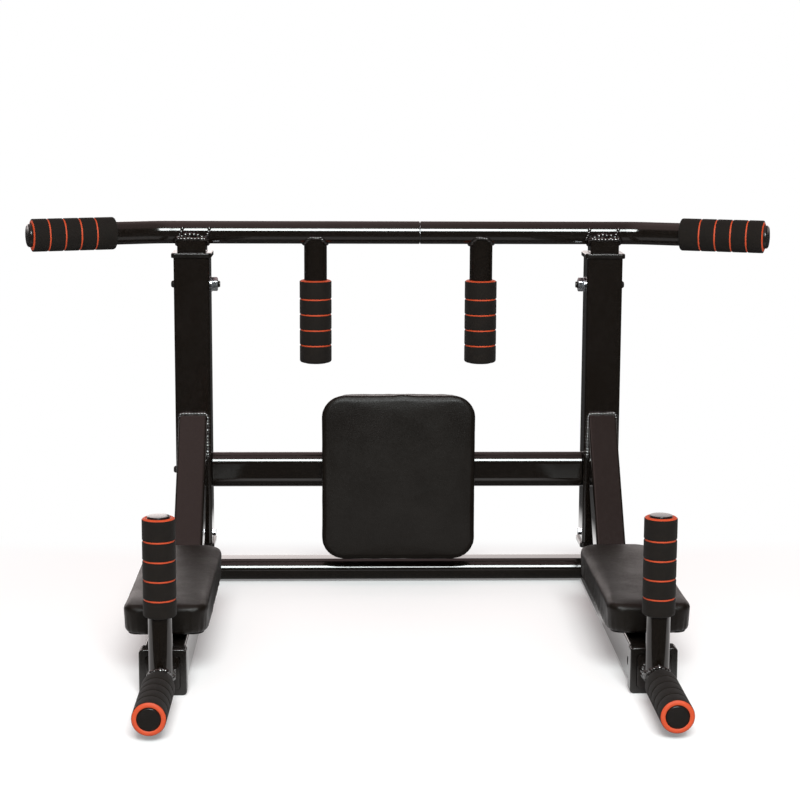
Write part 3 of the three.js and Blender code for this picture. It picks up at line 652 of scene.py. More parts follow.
# %% Feet
FOOT_SHOW = low("upright_left").z
FOOT_EDGE = 1.5 * MM
FOOT_PLUG_SIDE = INNER_SIDE - 2 * WALL - 0.6 * MM
for side, name in SIDES:
    at = Vector((side * FRAME_X, POST_Y, 0))
    section = [
        (INNER_SIDE - 2 * FOOT_EDGE, 0),
        (INNER_SIDE - 0.6 * FOOT_EDGE, 0.4 * FOOT_EDGE),
        (INNER_SIDE, FOOT_EDGE),
        (INNER_SIDE, FOOT_SHOW - 0.3 * MM),
        (FOOT_PLUG_SIDE, FOOT_SHOW - 0.3 * MM),
        (FOOT_PLUG_SIDE, high(f"foot_{name}").z),
    ]
    rings = [lay(rounded(s, s, 3.5 * MM), at + Z * h, X, Y) for s, h in section]
    foot = shell(f"foot_plug_{name}", rings, PLASTIC)
    dress(foot, "frame", "black_plastic", f"foot_{name}")
print("feet:", 2)

# %% [markdown]
# ## Cross tubes
#
# Both cross tubes have a flat-oval section: two flat sides joined by half circles. The upper
# one stands on edge and the lower one lies flat, which is why the lower one shows a bright
# flat top in the photograph. Small end plates close them.

# %% Flat-oval tubes
OVAL_LONG, OVAL_SHORT = 50 * MM, 30 * MM
OVAL_EDGE = 0.8 * MM
OVAL_CLOSED = 0.4 * OVAL_SHORT  # how far in the end plate's last ring lies
for node, piece_name, wide, tall in (
    ("mid_cross_tube", "upper_oval_tube", OVAL_SHORT, OVAL_LONG),
    ("low_cross_tube", "lower_oval_tube", OVAL_LONG, OVAL_SHORT),
):
    at = middle(node)
    reach = high(node).x
    outline = lambda by: rounded(wide - 2 * by, tall - 2 * by, OVAL_SHORT / 2 - by, steps=12)
    section = [
        (OVAL_CLOSED, -reach),
        (OVAL_EDGE, -reach),
        (0, -reach + OVAL_EDGE),
        (0, reach - OVAL_EDGE),
        (OVAL_EDGE, reach),
        (OVAL_CLOSED, reach),
    ]
    rings = [lay(outline(inset), (along, at.y, at.z), Y, Z) for inset, along in section]
    oval = shell(piece_name, rings, PAINT)
    dress(oval, "frame", "black_paint", node)
print("cross tubes:", 2)

# %% [markdown]
# ## Pull-up bar
#
# The bar is two lengths of 32 mm tube on an inner joiner. Each is straight over the posts
# and then bends forward to its grip. The rings of a bent tube are placed only where the
# route needs them: at its ends, and every few degrees in the bend.

# %% Bar halves
BAR_R = 16 * MM
BAR_BORE = BAR_R - WALL
BEND_X, BEND_RADIUS, BEND_ANGLE = 335 * MM, 90 * MM, math.radians(21)
BAR_TIP_X = 503 * MM
BEND_STEPS = 14
SEAM_LIP = 0.6 * MM
bar_tips = {}
for side, name in SIDES:
    seam = high("bar_half_left").x if side < 0 else low("bar_half_right").x
    start = BEND_X - BEND_RADIUS * math.tan(BEND_ANGLE / 2)
    stations = [(Vector((seam, POST_Y, BAR_Z)), Vector((side, 0, 0)))]
    for k in range(BEND_STEPS + 1):
        turn = BEND_ANGLE * k / BEND_STEPS
        across = start + BEND_RADIUS * math.sin(turn)
        forward = BEND_RADIUS * (1 - math.cos(turn))
        point = Vector((side * across, POST_Y - forward, BAR_Z))
        stations.append((point, Vector((side * math.cos(turn), -math.sin(turn), 0))))
    run = stations[-1][1]
    corner = Vector((side * BEND_X, POST_Y, BAR_Z))
    tip = corner + run * ((BAR_TIP_X - BEND_X) / math.cos(BEND_ANGLE))
    stations.append((tip, run))
    bar_tips[name] = (tip, run)
    skin = [lay(circle(BAR_R), p, Z.cross(d), Z) for p, d in stations]
    bore = [lay(circle(BAR_BORE), p, Z.cross(d), Z) for p, d in reversed(stations)]
    seam_point, inward = stations[0]
    skin[0] = lay(circle(BAR_R - SEAM_LIP), seam_point, Z.cross(inward), Z)
    skin.insert(1, lay(circle(BAR_R), seam_point + inward * SEAM_LIP, Z.cross(inward), Z))
    half = shell(f"bar_tube_{name}", skin + bore, PAINT, closed=True)
    dress(half, "pull_up_bar", "black_paint", f"bar_half_{name}")
print("bar is", round(2 * BAR_TIP_X / MM), "mm from tube end to tube end")

# %% [markdown]
# A stub is cut to fit round the bar. A point of its outline that lies under the bar ends on
# the bar's surface, which one square root gives. The front and back walls of a stub miss the
# bar and stand a little way up beside it. Straight sides get extra points first, because a
# side with none between its corners can't follow a curve.

# %% Stubs
STUB_SHOULDER = BAR_Z - BAR_R / 2
HEIGHT_STEP, SETTINGS = 25 * MM, 7
LONG_SIDE, SIDE_PARTS = 10 * MM, 8


def rise(radius, off_middle):
    """How far the skin of a round tube stands from the level of its middle."""
    return math.sqrt(max(radius**2 - off_middle**2, 0))


def under_bar(y):
    """The height at which a vertical line meets the bar from below, or the shoulder."""
    return min(BAR_Z - rise(BAR_R, y), STUB_SHOULDER)


def dense(ring):
    """Adds points to the long sides of an outline."""
    points = []
    for a, b in zip(ring, ring[1:] + ring[:1]):
        parts = SIDE_PARTS if (Vector(a) - Vector(b)).length > LONG_SIDE else 1
        for t in (k / parts for k in range(parts)):
            points.append((a[0] * (1 - t) + b[0] * t, a[1] * (1 - t) + b[1] * t))
    return points


for side, name in SIDES:
    node = f"bar_stub_{name}"
    at = Vector((side * FRAME_X, POST_Y, 0))
    bottom = low(node).z
    foot = lambda ring: [at + Vector((px, py, bottom)) for px, py in ring]
    head = lambda ring: [at + Vector((px, py, under_bar(py))) for px, py in ring]
    outer, inner = (dense(outline) for outline in square(INNER_SIDE, INNER_CORNER))
    rings = [foot(outer), head(outer), head(inner), foot(inner)]
    stub = shell(f"plug_in_stub_{name}", rings, PAINT, closed=True)
    top_hole = middle(f"bar_bolt_{name}")
    holes = [top_hole - Z * (k * HEIGHT_STEP) for k in range(SETTINGS)]
    drill(stub, holes, BOLT_HOLE, X, SLEEVE_SIDE)
    dress(stub, "pull_up_bar", "black_paint", node)
print("stubs:", 2, "with", SETTINGS, "settings each")

# %% [markdown]
# The hanging tubes are as thick as the bar, so their upper ends are cut to a full saddle. The
# same square root does it, with no shoulder.

# %% Hanging tubes
for side, name in SIDES:
    node = f"hanging_tube_{name}"
    at = Vector((middle(node).x, POST_Y, 0))
    bottom = low(node).z
    meet = lambda ring: [at + Vector((px, py, BAR_Z - rise(BAR_R, py))) for px, py in ring]
    foot = lambda ring: [at + Vector((px, py, bottom)) for px, py in ring]
    skin, bore = circle(BAR_R), circle(BAR_BORE)
    rings = [foot(skin), meet(skin), meet(bore), foot(bore)]
    hanger = shell(f"hanging_bar_{name}", rings, PAINT, closed=True)
    dress(hanger, "pull_up_bar", "black_paint", node)
print("hanging tubes:", 2)

# %% [markdown]
# ## Dip handles
#
# Each handle is one welded unit: a square stub with a closed front plate, a round tube that
# runs forward from the plate, and a second one that stands on the first. The stub's rings
# shrink towards a single point in its front plate, outside and inside, which closes it.

# %% Handle stubs
DIP_R, DIP_WALL = 14 * MM, 1.5 * MM
REACH_STEP = 20 * MM
PLATE, PLATE_EDGE = 4 * MM, 1 * MM
bore_side = INNER_SIDE - 2 * WALL
for side, name in SIDES:
    node, body = f"dip_stub_{name}", f"dip_handle_{name}"
    x, z = middle(node).x, middle(node).z
    front, rear = low(node).y, high(node).y
    section = [
        (bore_side / 3, front),
        (INNER_SIDE - 2 * PLATE_EDGE, front),
        (INNER_SIDE - PLATE_EDGE / 2, front + PLATE_EDGE / 4),
        (INNER_SIDE, front + PLATE_EDGE),
        (INNER_SIDE, rear),
        (bore_side, rear),
        (bore_side, front + PLATE),
        (bore_side / 3, front + PLATE),
    ]
    corner_for = lambda s: INNER_CORNER * s / INNER_SIDE
    rings = [lay(rounded(s, s, corner_for(s)), (x, y, z), X, Z) for s, y in section]
    point_at = lambda y: [Vector((x, y, z))] * len(rings[0])
    rings = [point_at(front)] + rings + [point_at(front + PLATE)]
    stub = shell(f"handle_stub_{name}", rings, PAINT)
    first_hole = middle(f"arm_bolt_{name}")
    holes = [first_hole + Y * (k * REACH_STEP) for k in range(SETTINGS)]
    drill(stub, holes, BOLT_HOLE, X, SLEEVE_SIDE)
    dress(stub, body, "black_paint", node)
print("handle stubs:", 2)

# %% [markdown]
# The upright tube ends in a saddle on the one that runs forward, as the hanging tubes do on
# the bar.

# %% Handle tubes
for side, name in SIDES:
    node, body = f"dip_tube_{name}", f"dip_handle_{name}"
    x, z = middle(f"dip_stub_{name}").x, middle(f"dip_stub_{name}").z
    front, tip, top = low(f"dip_stub_{name}").y, low(node).y, high(node).z
    post_y = middle(f"dip_top_grip_{name}").y
    skin, bore = circle(DIP_R), circle(DIP_R - DIP_WALL)
    forward = tube(f"forward_tube_{name}", skin, bore, [(x, front, z), (x, tip, z)], X, Z, PAINT)
    meet = lambda ring: [Vector((x + px, post_y + py, z + rise(DIP_R, px))) for px, py in ring]
    head = lambda ring: [Vector((x + px, post_y + py, top)) for px, py in ring]
    rings = [head(skin), meet(skin), meet(bore), head(bore)]
    standing = shell(f"standing_tube_{name}", rings, PAINT, closed=True)
    dress(forward, body, "black_paint", node)
    dress(standing, body, "black_paint")
print("dip handles stand", round((top - z) / MM), "mm over their stubs")

# %% [markdown]
# ## Things that repeat
#
# Weld ripples and staples follow a path, and the rings of a grip follow its axis.
# Geometry Nodes place them all from two trees. The first sets copies of a small object along
# a path at a fixed pitch, turned to the path and varied a little by a seeded random value.


# %% A tree that sets pieces along a path
def node_inputs(tree, inputs):
    tree.interface.new_socket("Geometry", in_out="INPUT", socket_type="NodeSocketGeometry")
    for label, kind, value in inputs:
        socket = tree.interface.new_socket(label, in_out="INPUT", socket_type=kind)
        if value is not None:
            socket.default_value = value
    tree.interface.new_socket("Geometry", in_out="OUTPUT", socket_type="NodeSocketGeometry")
    return tree.nodes.new("NodeGroupInput").outputs, tree.nodes.new("NodeGroupOutput").inputs


path_tree = bpy.data.node_groups.new("pieces along a path", "GeometryNodeTree")
gi, go = node_inputs(
    path_tree,
    [
        ("Piece", "NodeSocketObject", None),
        ("Pitch", FLOAT, 0.003),
        ("Smallest", FLOAT, 0.85),
        ("Largest", FLOAT, 1.2),
        ("Seed", "NodeSocketInt", 0),
        ("Material", "NodeSocketMaterial", None),
    ],
)
path = add_node(path_tree, "GeometryNodeMeshToCurve", {"Mesh": gi["Geometry"]})
evenly_cut = {"Curve": path.outputs[0], "Length": gi["Pitch"]}
even = add_node(path_tree, "GeometryNodeResampleCurve", evenly_cut, mode="LENGTH")
tangent = add_node(path_tree, "GeometryNodeInputTangent").outputs[0]
turn = add_node(path_tree, "FunctionNodeAlignRotationToVector", {"Vector": tangent}, axis="X")
size_range = {2: gi["Smallest"], 3: gi["Largest"], "Seed": gi["Seed"]}
size = add_node(path_tree, "FunctionNodeRandomValue", size_range, data_type="FLOAT")
source = add_node(path_tree, "GeometryNodeObjectInfo", {"Object": gi["Piece"], "As Instance": True})
copies = add_node(
    path_tree,
    "GeometryNodeInstanceOnPoints",
    {
        "Points": even.outputs[0],
        "Instance": source.outputs["Geometry"],
        "Rotation": turn.outputs[0],
        "Scale": size.outputs[1],
    },
)
real = add_node(path_tree, "GeometryNodeRealizeInstances", {"Geometry": copies.outputs[0]})
coat = {"Geometry": real.outputs[0], "Material": gi["Material"]}
coated = add_node(path_tree, "GeometryNodeSetMaterial", coat)
path_tree.links.new(coated.outputs[0], go["Geometry"])


def run_tree(name, start, tree, values):
    """Runs a Geometry Nodes tree on a start mesh and returns a plain object."""
    carrier = bpy.data.objects.new(name, start)
    bpy.context.scene.collection.objects.link(carrier)
    modifier = carrier.modifiers.new("nodes", "NODES")
    modifier.node_group = tree
    items = [item for item in tree.interface.items_tree if item.item_type == "SOCKET"]
    sockets = {item.name: item.identifier for item in items if item.in_out == "INPUT"}
    for label, value in values.items():
        modifier[sockets[label]] = value
    graph = bpy.context.evaluated_depsgraph_get()
    result = bpy.data.meshes.new_from_object(carrier.evaluated_get(graph))
    carrier.modifiers.clear()
    carrier.data = result
    return carrier


def path_mesh(points, closed=False):
    mesh = bpy.data.meshes.new("path")
    count = len(points)
    edges = [(k, (k + 1) % count) for k in range(count if closed else count - 1)]
    mesh.from_pydata(points, edges, [])
    return mesh


print("tree:", path_tree.name)

# %% [markdown]
# ## Welds
#
# A weld is a row of overlapping ripples. Each is a flattened bead of metal, so the piece that
# is repeated is a squashed ball. The path of each weld follows the joint that it closes. A
# seed of its own varies the sizes along it, and most paths wander by about a millimetre. That
# wander has a fixed seed too, because without one each run would weld a little differently.


# %% Ripples
def squashed_ball(name, sizes, material, sides=12, rows=8):
    turns = [math.pi * k / rows for k in range(rows + 1)]
    profile = [(math.sin(t), -math.cos(t)) for t in turns]
    ball = turned(name, profile, Matrix.Diagonal((*sizes, 1)), material, sides=sides)
    ball.data.shade_smooth()
    return ball


ripple = squashed_ball("ripple", (3.6 * MM, 2.6 * MM, 2.6 * MM), WELD_PAINT, sides=16, rows=12)
lump = squashed_ball("lump", (4.6 * MM, 3.2 * MM, 3.2 * MM), WELD_PAINT, sides=20, rows=14)
WANDER_RATE = 160  # per metre: the torch drifts and comes back every few millimetres
noise.seed_set(1)  # without it, noise_vector starts from the clock


def weld(name, points, body, closed=True, seed=1, pitch=3.1 * MM, bead=ripple, spread=(0.8, 1.2)):
    values = {
        "Piece": bead,
        "Pitch": pitch,
        "Smallest": spread[0],
        "Largest": spread[1],
        "Seed": seed,
        "Material": WELD_PAINT,
    }
    row = run_tree(name, path_mesh(points, closed), path_tree, values)
    dress(row, body, "black_paint", weighted=False)


def wandering(points, by, seed):
    """A hand never keeps a torch on the line: moves each point a little."""
    start = Vector((seed, 0, 0))
    return [p + by * noise.noise_vector(p * WANDER_RATE + start) for p in points]


print("ripples:", ripple.name, "and", lump.name)

# %% [markdown]
# The brace is welded all round where it meets the post and the arm, more coarsely at the
# post. The upright is welded to the rear end of the arm.

# %% Welds of the side frames
for side, name in SIDES:
    x = side * FRAME_X
    at = Vector((x, 0, 0)) + brace_middle
    outline = lay(square(INNER_SIDE, INNER_CORNER)[0], at, X, brace_up)
    top = wandering(on_post(outline), 1.1 * MM, 4)
    weld(f"weld_brace_top_{name}", top, "frame", seed=3, pitch=4.4 * MM, bead=lump, spread=(0.6, 1))
    weld(f"weld_brace_foot_{name}", on_arm(outline), "frame", seed=4)
    rear_y, arm_z = high(f"arm_{name}").y, middle(f"arm_{name}").z
    section = rounded(INNER_SIDE, SLEEVE_SIDE - 8 * MM, 4 * MM)
    rear = [Vector((x + px, rear_y, arm_z + pz)) for px, pz in section]
    weld(f"weld_upright_{name}", rear, "frame", seed=9)
print("welds of the side frames:", 6)

# %% [markdown]
# The joint of stub and bar is the one that shows most. One weld follows the saddle. In front
# and behind, a second one fills the gap between the stub's wall and the bar, and a third
# arches up on the bar's side. At two places short rows of smaller ripples climb the bar,
# where the welder started and stopped. They lie at other places on the right than on the
# left, because each side was welded by hand.

# %% Welds of the stubs
FILL_OUT, FILL_DROP = 17.6 * MM, 8 * MM
ARCH_DROP, ARCH_BEND = 8, 80  # degrees round the bar: at the middle, and how it falls away
CLIMBS = {"left": (-17 * MM, 21 * MM), "right": (-26 * MM, 14 * MM)}
CLIMB_STEPS, CLIMB_FROM, CLIMB_STEP, CLIMB_LEAN = 12, -24, 4, 0.4 * MM
round_stub = {"pitch": 5 * MM, "bead": lump, "spread": (0.7, 1.05)}
coarse = {"pitch": 5.4 * MM, "bead": lump, "spread": (0.7, 1.1)}
small = {"pitch": 3.6 * MM, "bead": lump, "spread": (0.5, 0.8)}


def evenly(first, last, count=25):
    return [first + (last - first) * k / (count - 1) for k in range(count)]


def bar_skin(x, degrees, face):
    """A point on the bar's surface, so far round it from the level of its middle."""
    up = math.radians(degrees)
    return Vector((x, POST_Y + face * BAR_R * math.cos(up), BAR_Z + BAR_R * math.sin(up)))


def climb(x, face):
    steps = range(CLIMB_STEPS)
    return [bar_skin(x + CLIMB_LEAN * k, CLIMB_FROM + CLIMB_STEP * k, face) for k in steps]


for side, name in SIDES:
    x = side * FRAME_X
    section = dense(rounded(INNER_SIDE + 2 * MM, INNER_SIDE - MM, INNER_CORNER))
    saddle = [Vector((x + px, POST_Y + py, under_bar(py))) for px, py in section]
    saddle = wandering(saddle, 1.5 * MM, 2)
    weld(f"weld_stub_{name}", saddle, "pull_up_bar", seed=5, **round_stub)
    for face, stem in ((-1, "front"), (1, "back")):
        fill_y, fill_z, arch = POST_Y + face * FILL_OUT, BAR_Z - FILL_DROP, []
        fill = [Vector((x + t * INNER_SIDE, fill_y, fill_z)) for t in evenly(-0.5, 0.5)]
        for t in evenly(-0.5, 0.5):
            arch.append(bar_skin(x + t * INNER_SIDE, -ARCH_DROP - ARCH_BEND * t**2, face))
        climbs = [climb(x + across, face) for across in CLIMBS[name]]
        rows = [(fill, coarse), (arch, coarse)] + [(line, small) for line in climbs]
        for number, (line, style) in enumerate(rows):
            title = f"weld_stub_{stem}_{number + 1}_{name}"
            line = wandering(line, 1.2 * MM, seed=number)
            weld(title, line, "pull_up_bar", closed=False, seed=11 + number, **style)
print("welds of the stubs:", 18)

# %% [markdown]
# The hanging tubes and the standing tubes of the dip handles end in saddles too, with one
# weld round each, just outside the tube. The tube that runs forward is welded to its plate.

# %% Welds of the hanging tubes and the handles
OUTSIDE = 1.02
THROAT = BAR_Z - 0.45 * BAR_R  # no weld of a hanging tube climbs higher
saddle_style = {"pitch": 4.2 * MM, "bead": lump, "spread": (0.6, 1)}
for side, name in SIDES:
    x = middle(f"hanging_tube_{name}").x
    saddle = [
        Vector((x + px, POST_Y + py, min(BAR_Z - rise(BAR_R, py), THROAT)))
        for px, py in circle(BAR_R * OUTSIDE)
    ]
    saddle = wandering(saddle, 1.2 * MM, 3)
    weld(f"weld_hanger_{name}", saddle, "pull_up_bar", seed=6, **saddle_style)
    body, node = f"dip_handle_{name}", f"dip_stub_{name}"
    x, z, front = side * FRAME_X, middle(node).z, low(node).y
    post_y = middle(f"dip_top_grip_{name}").y
    saddle = [
        Vector((x + px, post_y + py, z + rise(DIP_R, px) + 0.5 * MM))
        for px, py in circle(DIP_R * OUTSIDE)
    ]
    weld(f"weld_standing_{name}", wandering(saddle, 1.2 * MM, 5), body, seed=7, **saddle_style)
    weld(f"weld_forward_{name}", lay(circle(DIP_R), (x, front, z), X, Z), body, seed=8)
for maker in (ripple, lump):
    bpy.data.objects.remove(maker)
print("welds of the round tubes:", 6)

# %% [markdown]
# ## Fasteners
#
# Domed bolt heads sit on the outer sides of the frames. On the inner side of each post the
# bar's bolt ends in a washer, a nut and a few turns of bare thread. The thread is a row of
# small ridges on a turned piece: at this size nobody sees that they don't climb.

# %% Bolts
BOLT_R = 5 * MM
HEAD_R, HEAD_THICK, HEAD_FLANGE = 9 * MM, 5 * MM, 1 * MM
SOCKET_R, SOCKET_DEEP, SOCKET_EDGE = 2.4 * MM, 2.5 * MM, 0.4 * MM
CROWN_R, CROWN_STEPS = 5.2 * MM, 6
THREAD_PITCH, THREAD_DEEP = 1.5 * MM, 0.8 * MM


def bolt(name, node, side, material, thread=0.0):
    box_low, box_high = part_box(node)
    x_head = box_high.x if side > 0 else box_low.x
    at = Vector((x_head - side * HEAD_THICK, middle(node).y, middle(node).z))
    length = (box_high.x - box_low.x) - HEAD_THICK
    rim = SOCKET_R + SOCKET_EDGE
    profile = [
        (0, HEAD_THICK - SOCKET_DEEP),
        (SOCKET_R, HEAD_THICK - SOCKET_DEEP),
        (SOCKET_R, HEAD_THICK - 0.3 * MM),
        (rim, HEAD_THICK),
    ]
    for k in range(1, CROWN_STEPS + 1):
        t = math.pi / 2 * k / CROWN_STEPS
        crown = HEAD_FLANGE + (HEAD_THICK - HEAD_FLANGE) * math.cos(t)
        profile.append((rim + (CROWN_R - rim) * math.sin(t), crown))
    profile += [
        (HEAD_R - 0.5 * MM, HEAD_FLANGE - 0.2 * MM),
        (HEAD_R, 0.4 * MM),
        (HEAD_R - 0.2 * MM, 0),
        (BOLT_R, 0),
    ]
    for k in range(int(thread / THREAD_PITCH)):
        depth = -(length - thread) - k * THREAD_PITCH
        profile += [(BOLT_R, depth), (BOLT_R - THREAD_DEEP, depth - THREAD_PITCH / 2)]
    profile += [(BOLT_R - THREAD_DEEP, -length), (0, -length)]
    return turned(name, profile, towards(at, (side, 0, 0)), material, sides=40)


for side, name in SIDES:
    piece = bolt(f"bolt_bar_{name}", f"bar_bolt_{name}", side, BLACK_STEEL, thread=14 * MM)
    dress(piece, "frame", "zinc", f"bar_bolt_{name}")
    for stem, node in (("cross", "cross_tube_bolt"), ("arm", "arm_bolt")):
        piece = bolt(f"bolt_{stem}_{name}", f"{node}_{name}", side, BLACK_STEEL)
        dress(piece, "frame", "zinc", f"{node}_{name}")
print("bolts:", 6)

# %% [markdown]
# A nut is a hexagon whose corners are cut round at both ends. So each of its rings is a
# hexagon that is held inside a circle: a small circle at the ends gives the round chamfer,
# and a large one leaves the corners sharp. The washer is turned into the same piece.

# %% Nuts
NUT_POINTS = 48
NUT_FLAT, NUT_CHAMFER_R, NUT_CHAMFER = 8.5 * MM, 9.0 * MM, 0.9 * MM
BEYOND_CORNERS = 12 * MM
WASHER_R, WASHER_THICK, WASHER_EDGE = 10.5 * MM, 2 * MM, 0.2 * MM


def hexagon_reach(angle):
    """How far a hexagon reaches from its middle in one direction."""
    return NUT_FLAT / math.cos((angle + math.pi / 6) % (math.pi / 3) - math.pi / 6)


def nut(name, node, side):
    """Washer and hexagon nut in one, against the inner face of the post."""
    box_low, box_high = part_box(node)
    face = box_high.x if side > 0 else box_low.x
    matrix = towards(Vector((face, middle(node).y, middle(node).z)), (-side, 0, 0))
    tall = box_high.x - box_low.x
    bore = BOLT_R + 0.2 * MM

    def ring(radius, z, hexagonal=False):
        points = []
        for k in range(NUT_POINTS):
            a = 2 * math.pi * k / NUT_POINTS
            r = min(hexagon_reach(a), radius) if hexagonal else radius
            points.append(matrix @ Vector((r * math.cos(a), r * math.sin(a), z)))
        return points

    rings = [
        ring(bore, 0),
        ring(WASHER_R - WASHER_EDGE, 0),
        ring(WASHER_R, WASHER_EDGE),
        ring(WASHER_R, WASHER_THICK - WASHER_EDGE),
        ring(WASHER_R - WASHER_EDGE, WASHER_THICK),
        ring(NUT_CHAMFER_R, WASHER_THICK, True),
        ring(BEYOND_CORNERS, WASHER_THICK + NUT_CHAMFER, True),
        ring(BEYOND_CORNERS, tall - NUT_CHAMFER, True),
        ring(NUT_CHAMFER_R, tall, True),
        ring(bore, tall),
    ]
    return shell(name, rings, ZINC, closed=True)


for side, name in SIDES:
    piece = nut(f"nut_bar_{name}", f"bar_nut_{name}", side)
    dress(piece, "frame", "zinc", f"bar_nut_{name}")
print("nuts:", 2)

# %% [markdown]
# The low cross tube is bolted from outside too. Only the small domed heads of those bolts
# show, so a head is all that is made. Its profile runs from the middle of the socket out to
# the rim and back under it.

# %% Bolt heads of the low cross tube
LOW_HEAD = [(0, 1.2), (3, 1.2), (3.2, 3.6), (5.5, 3.2), (7.4, 2), (8, 0.4), (8, -1), (0, -1)]
low_tube = middle("low_cross_tube")
for side, name in SIDES:
    at = Vector((side * (FRAME_X + INNER_SIDE / 2), low_tube.y, low_tube.z))
    profile = [(r * MM, z * MM) for r, z in LOW_HEAD]
    matrix = towards(at, (side, 0, 0))
    head = turned(f"bolt_head_low_{name}", profile, matrix, BLACK_STEEL, sides=40)
    dress(head, "frame", "zinc")
print("low bolt heads:", 2)

# %% [markdown]
# A short screw in the inner wall of each post, just above its lower collar, presses on the
# upright inside and takes the rattle out of the joint. Its head is a small bright hexagon.

# %% Clamp screws
SCREW_ABOVE_COLLAR = 11 * MM
SCREW_FLAT = 5 * MM
SCREW_SECTION = [(0.5, -WALL), (0.5, 0), (1.1, 0), (1.1, 3.4 * MM), (0.95, 4 * MM), (0.3, 4.1 * MM)]


def six_corners(radius, z):
    turns = [math.pi * k / 3 for k in range(6)]
    return [Vector((radius * math.cos(a), radius * math.sin(a), z)) for a in turns]


for side, name in SIDES:
    height = low(f"post_{name}").z + SCREW_ABOVE_COLLAR
    face = Vector((side * (FRAME_X - SLEEVE_SIDE / 2), POST_Y, height))
    matrix = towards(face, (-side, 0, 0))
    rings = [[matrix @ p for p in six_corners(grow * SCREW_FLAT, z)] for grow, z in SCREW_SECTION]
    screw = shell(f"clamp_screw_{name}", rings, ZINC)
    dress(screw, "frame", "zinc")
print("clamp screws:", 2)

# %% [markdown]
# ## Foam grips
#
# A grip is five lengths of black foam with orange rings between them and one more at the
# tube's end. The foam is one turned piece with a groove at each ring. The rings are set along
# the axis by the second tree: a line of points, a circle on each, and a small rounded section
# swept round it.

# %% A tree for the rings of a grip
ring_tree = bpy.data.node_groups.new("rings along an axis", "GeometryNodeTree")
gi, go = node_inputs(
    ring_tree,
    [
        ("Count", "NodeSocketInt", 4),
        ("First", FLOAT, 0.02),
        ("Step", FLOAT, 0.02),
        ("Radius", FLOAT, 0.02),
        ("Width", FLOAT, 0.003),
        ("Depth", FLOAT, 0.006),
        ("Edge", FLOAT, 0.0008),
        ("Material", "NodeSocketMaterial", None),
    ],
)
start_at = add_node(ring_tree, "ShaderNodeCombineXYZ", {"Z": gi["First"]})
step_by = add_node(ring_tree, "ShaderNodeCombineXYZ", {"Z": gi["Step"]})
offsets = {"Start Location": start_at.outputs[0], "Offset": step_by.outputs[0]}
line = add_node(ring_tree, "GeometryNodeMeshLine", {"Count": gi["Count"], **offsets})
hoop_size = {"Resolution": 64, "Radius": gi["Radius"]}
hoop = add_node(ring_tree, "GeometryNodeCurvePrimitiveCircle", hoop_size)
box_size = {"Width": gi["Depth"], "Height": gi["Width"]}
section = add_node(ring_tree, "GeometryNodeCurvePrimitiveQuadrilateral", box_size)
rounding = {"Curve": section.outputs[0], "Count": 4, "Radius": gi["Edge"]}
soft = add_node(ring_tree, "GeometryNodeFilletCurve", rounding, mode="POLY")
sweep = {"Curve": hoop.outputs[0], "Profile Curve": soft.outputs[0]}
swept = add_node(ring_tree, "GeometryNodeCurveToMesh", sweep)
setting = {"Points": line.outputs[0], "Instance": swept.outputs[0]}
set_on = add_node(ring_tree, "GeometryNodeInstanceOnPoints", setting)
real = add_node(ring_tree, "GeometryNodeRealizeInstances", {"Geometry": set_on.outputs[0]})
smooth = add_node(ring_tree, "GeometryNodeSetShadeSmooth", {"Geometry": real.outputs[0]})
coat = {"Geometry": smooth.outputs[0], "Material": gi["Material"]}
coated = add_node(ring_tree, "GeometryNodeSetMaterial", coat)
ring_tree.links.new(coated.outputs[0], go["Geometry"])
print("tree:", ring_tree.name)

# %% [markdown]
# The foam's profile is drawn from the ringed end on: each length starts and ends in a soft
# edge, and between two lengths lies the groove that holds a ring. The far end, where the
# foam tube was cut and its skin shrank, is rounder than the rest. The rings lie a little
# deeper than the foam, which is soft and swells beside them. The end ring bulges, because it
# is pressed on.

# %% How a grip is made
GRIP_LENGTH = 116 * MM
RING_STEP, RING_WIDTH, RING_COUNT, RING_DEPTH = 21.8 * MM, 2 * MM, 4, 5 * MM
END_RING, END_PUFF = 0.8 * MM, 1.5 * MM
GROOVE, GROOVE_DEEP = 0.9 * MM, 1.4 * MM
FOAM_EDGE, FOAM_END = 1 * MM, 3.4 * MM
EDGE_STEPS, END_STEPS, PUFF_STEPS = 4, 7, 8


def place_mesh(piece, matrix):
    piece.data.transform(matrix)
    piece.data.update()


def foam_profile(bore, outer, centres):
    profile = [(bore, END_RING), (outer - FOAM_EDGE, END_RING)]
    floor_r = outer - FOAM_EDGE - GROOVE_DEEP
    start = END_RING
    for centre in centres + [None]:
        last = centre is None
        stop = GRIP_LENGTH if last else centre - RING_WIDTH / 2
        edge, steps = (FOAM_END, END_STEPS) if last else (FOAM_EDGE, EDGE_STEPS)
        for k in range(1, EDGE_STEPS + 1):
            t = math.pi / 2 * k / EDGE_STEPS
            in_by, on_by = FOAM_EDGE * (1 - math.sin(t)), FOAM_EDGE * (1 - math.cos(t))
            profile.append((outer - in_by, start + on_by))
        for k in range(steps + 1):
            t = math.pi / 2 * k / steps
            profile.append((outer - edge * (1 - math.cos(t)), stop - edge * (1 - math.sin(t))))
        if last:
            profile.append((bore, stop))
        else:
            start = stop + RING_WIDTH
            profile += [(floor_r, stop), (floor_r, start), (outer - FOAM_EDGE, start)]
    return profile


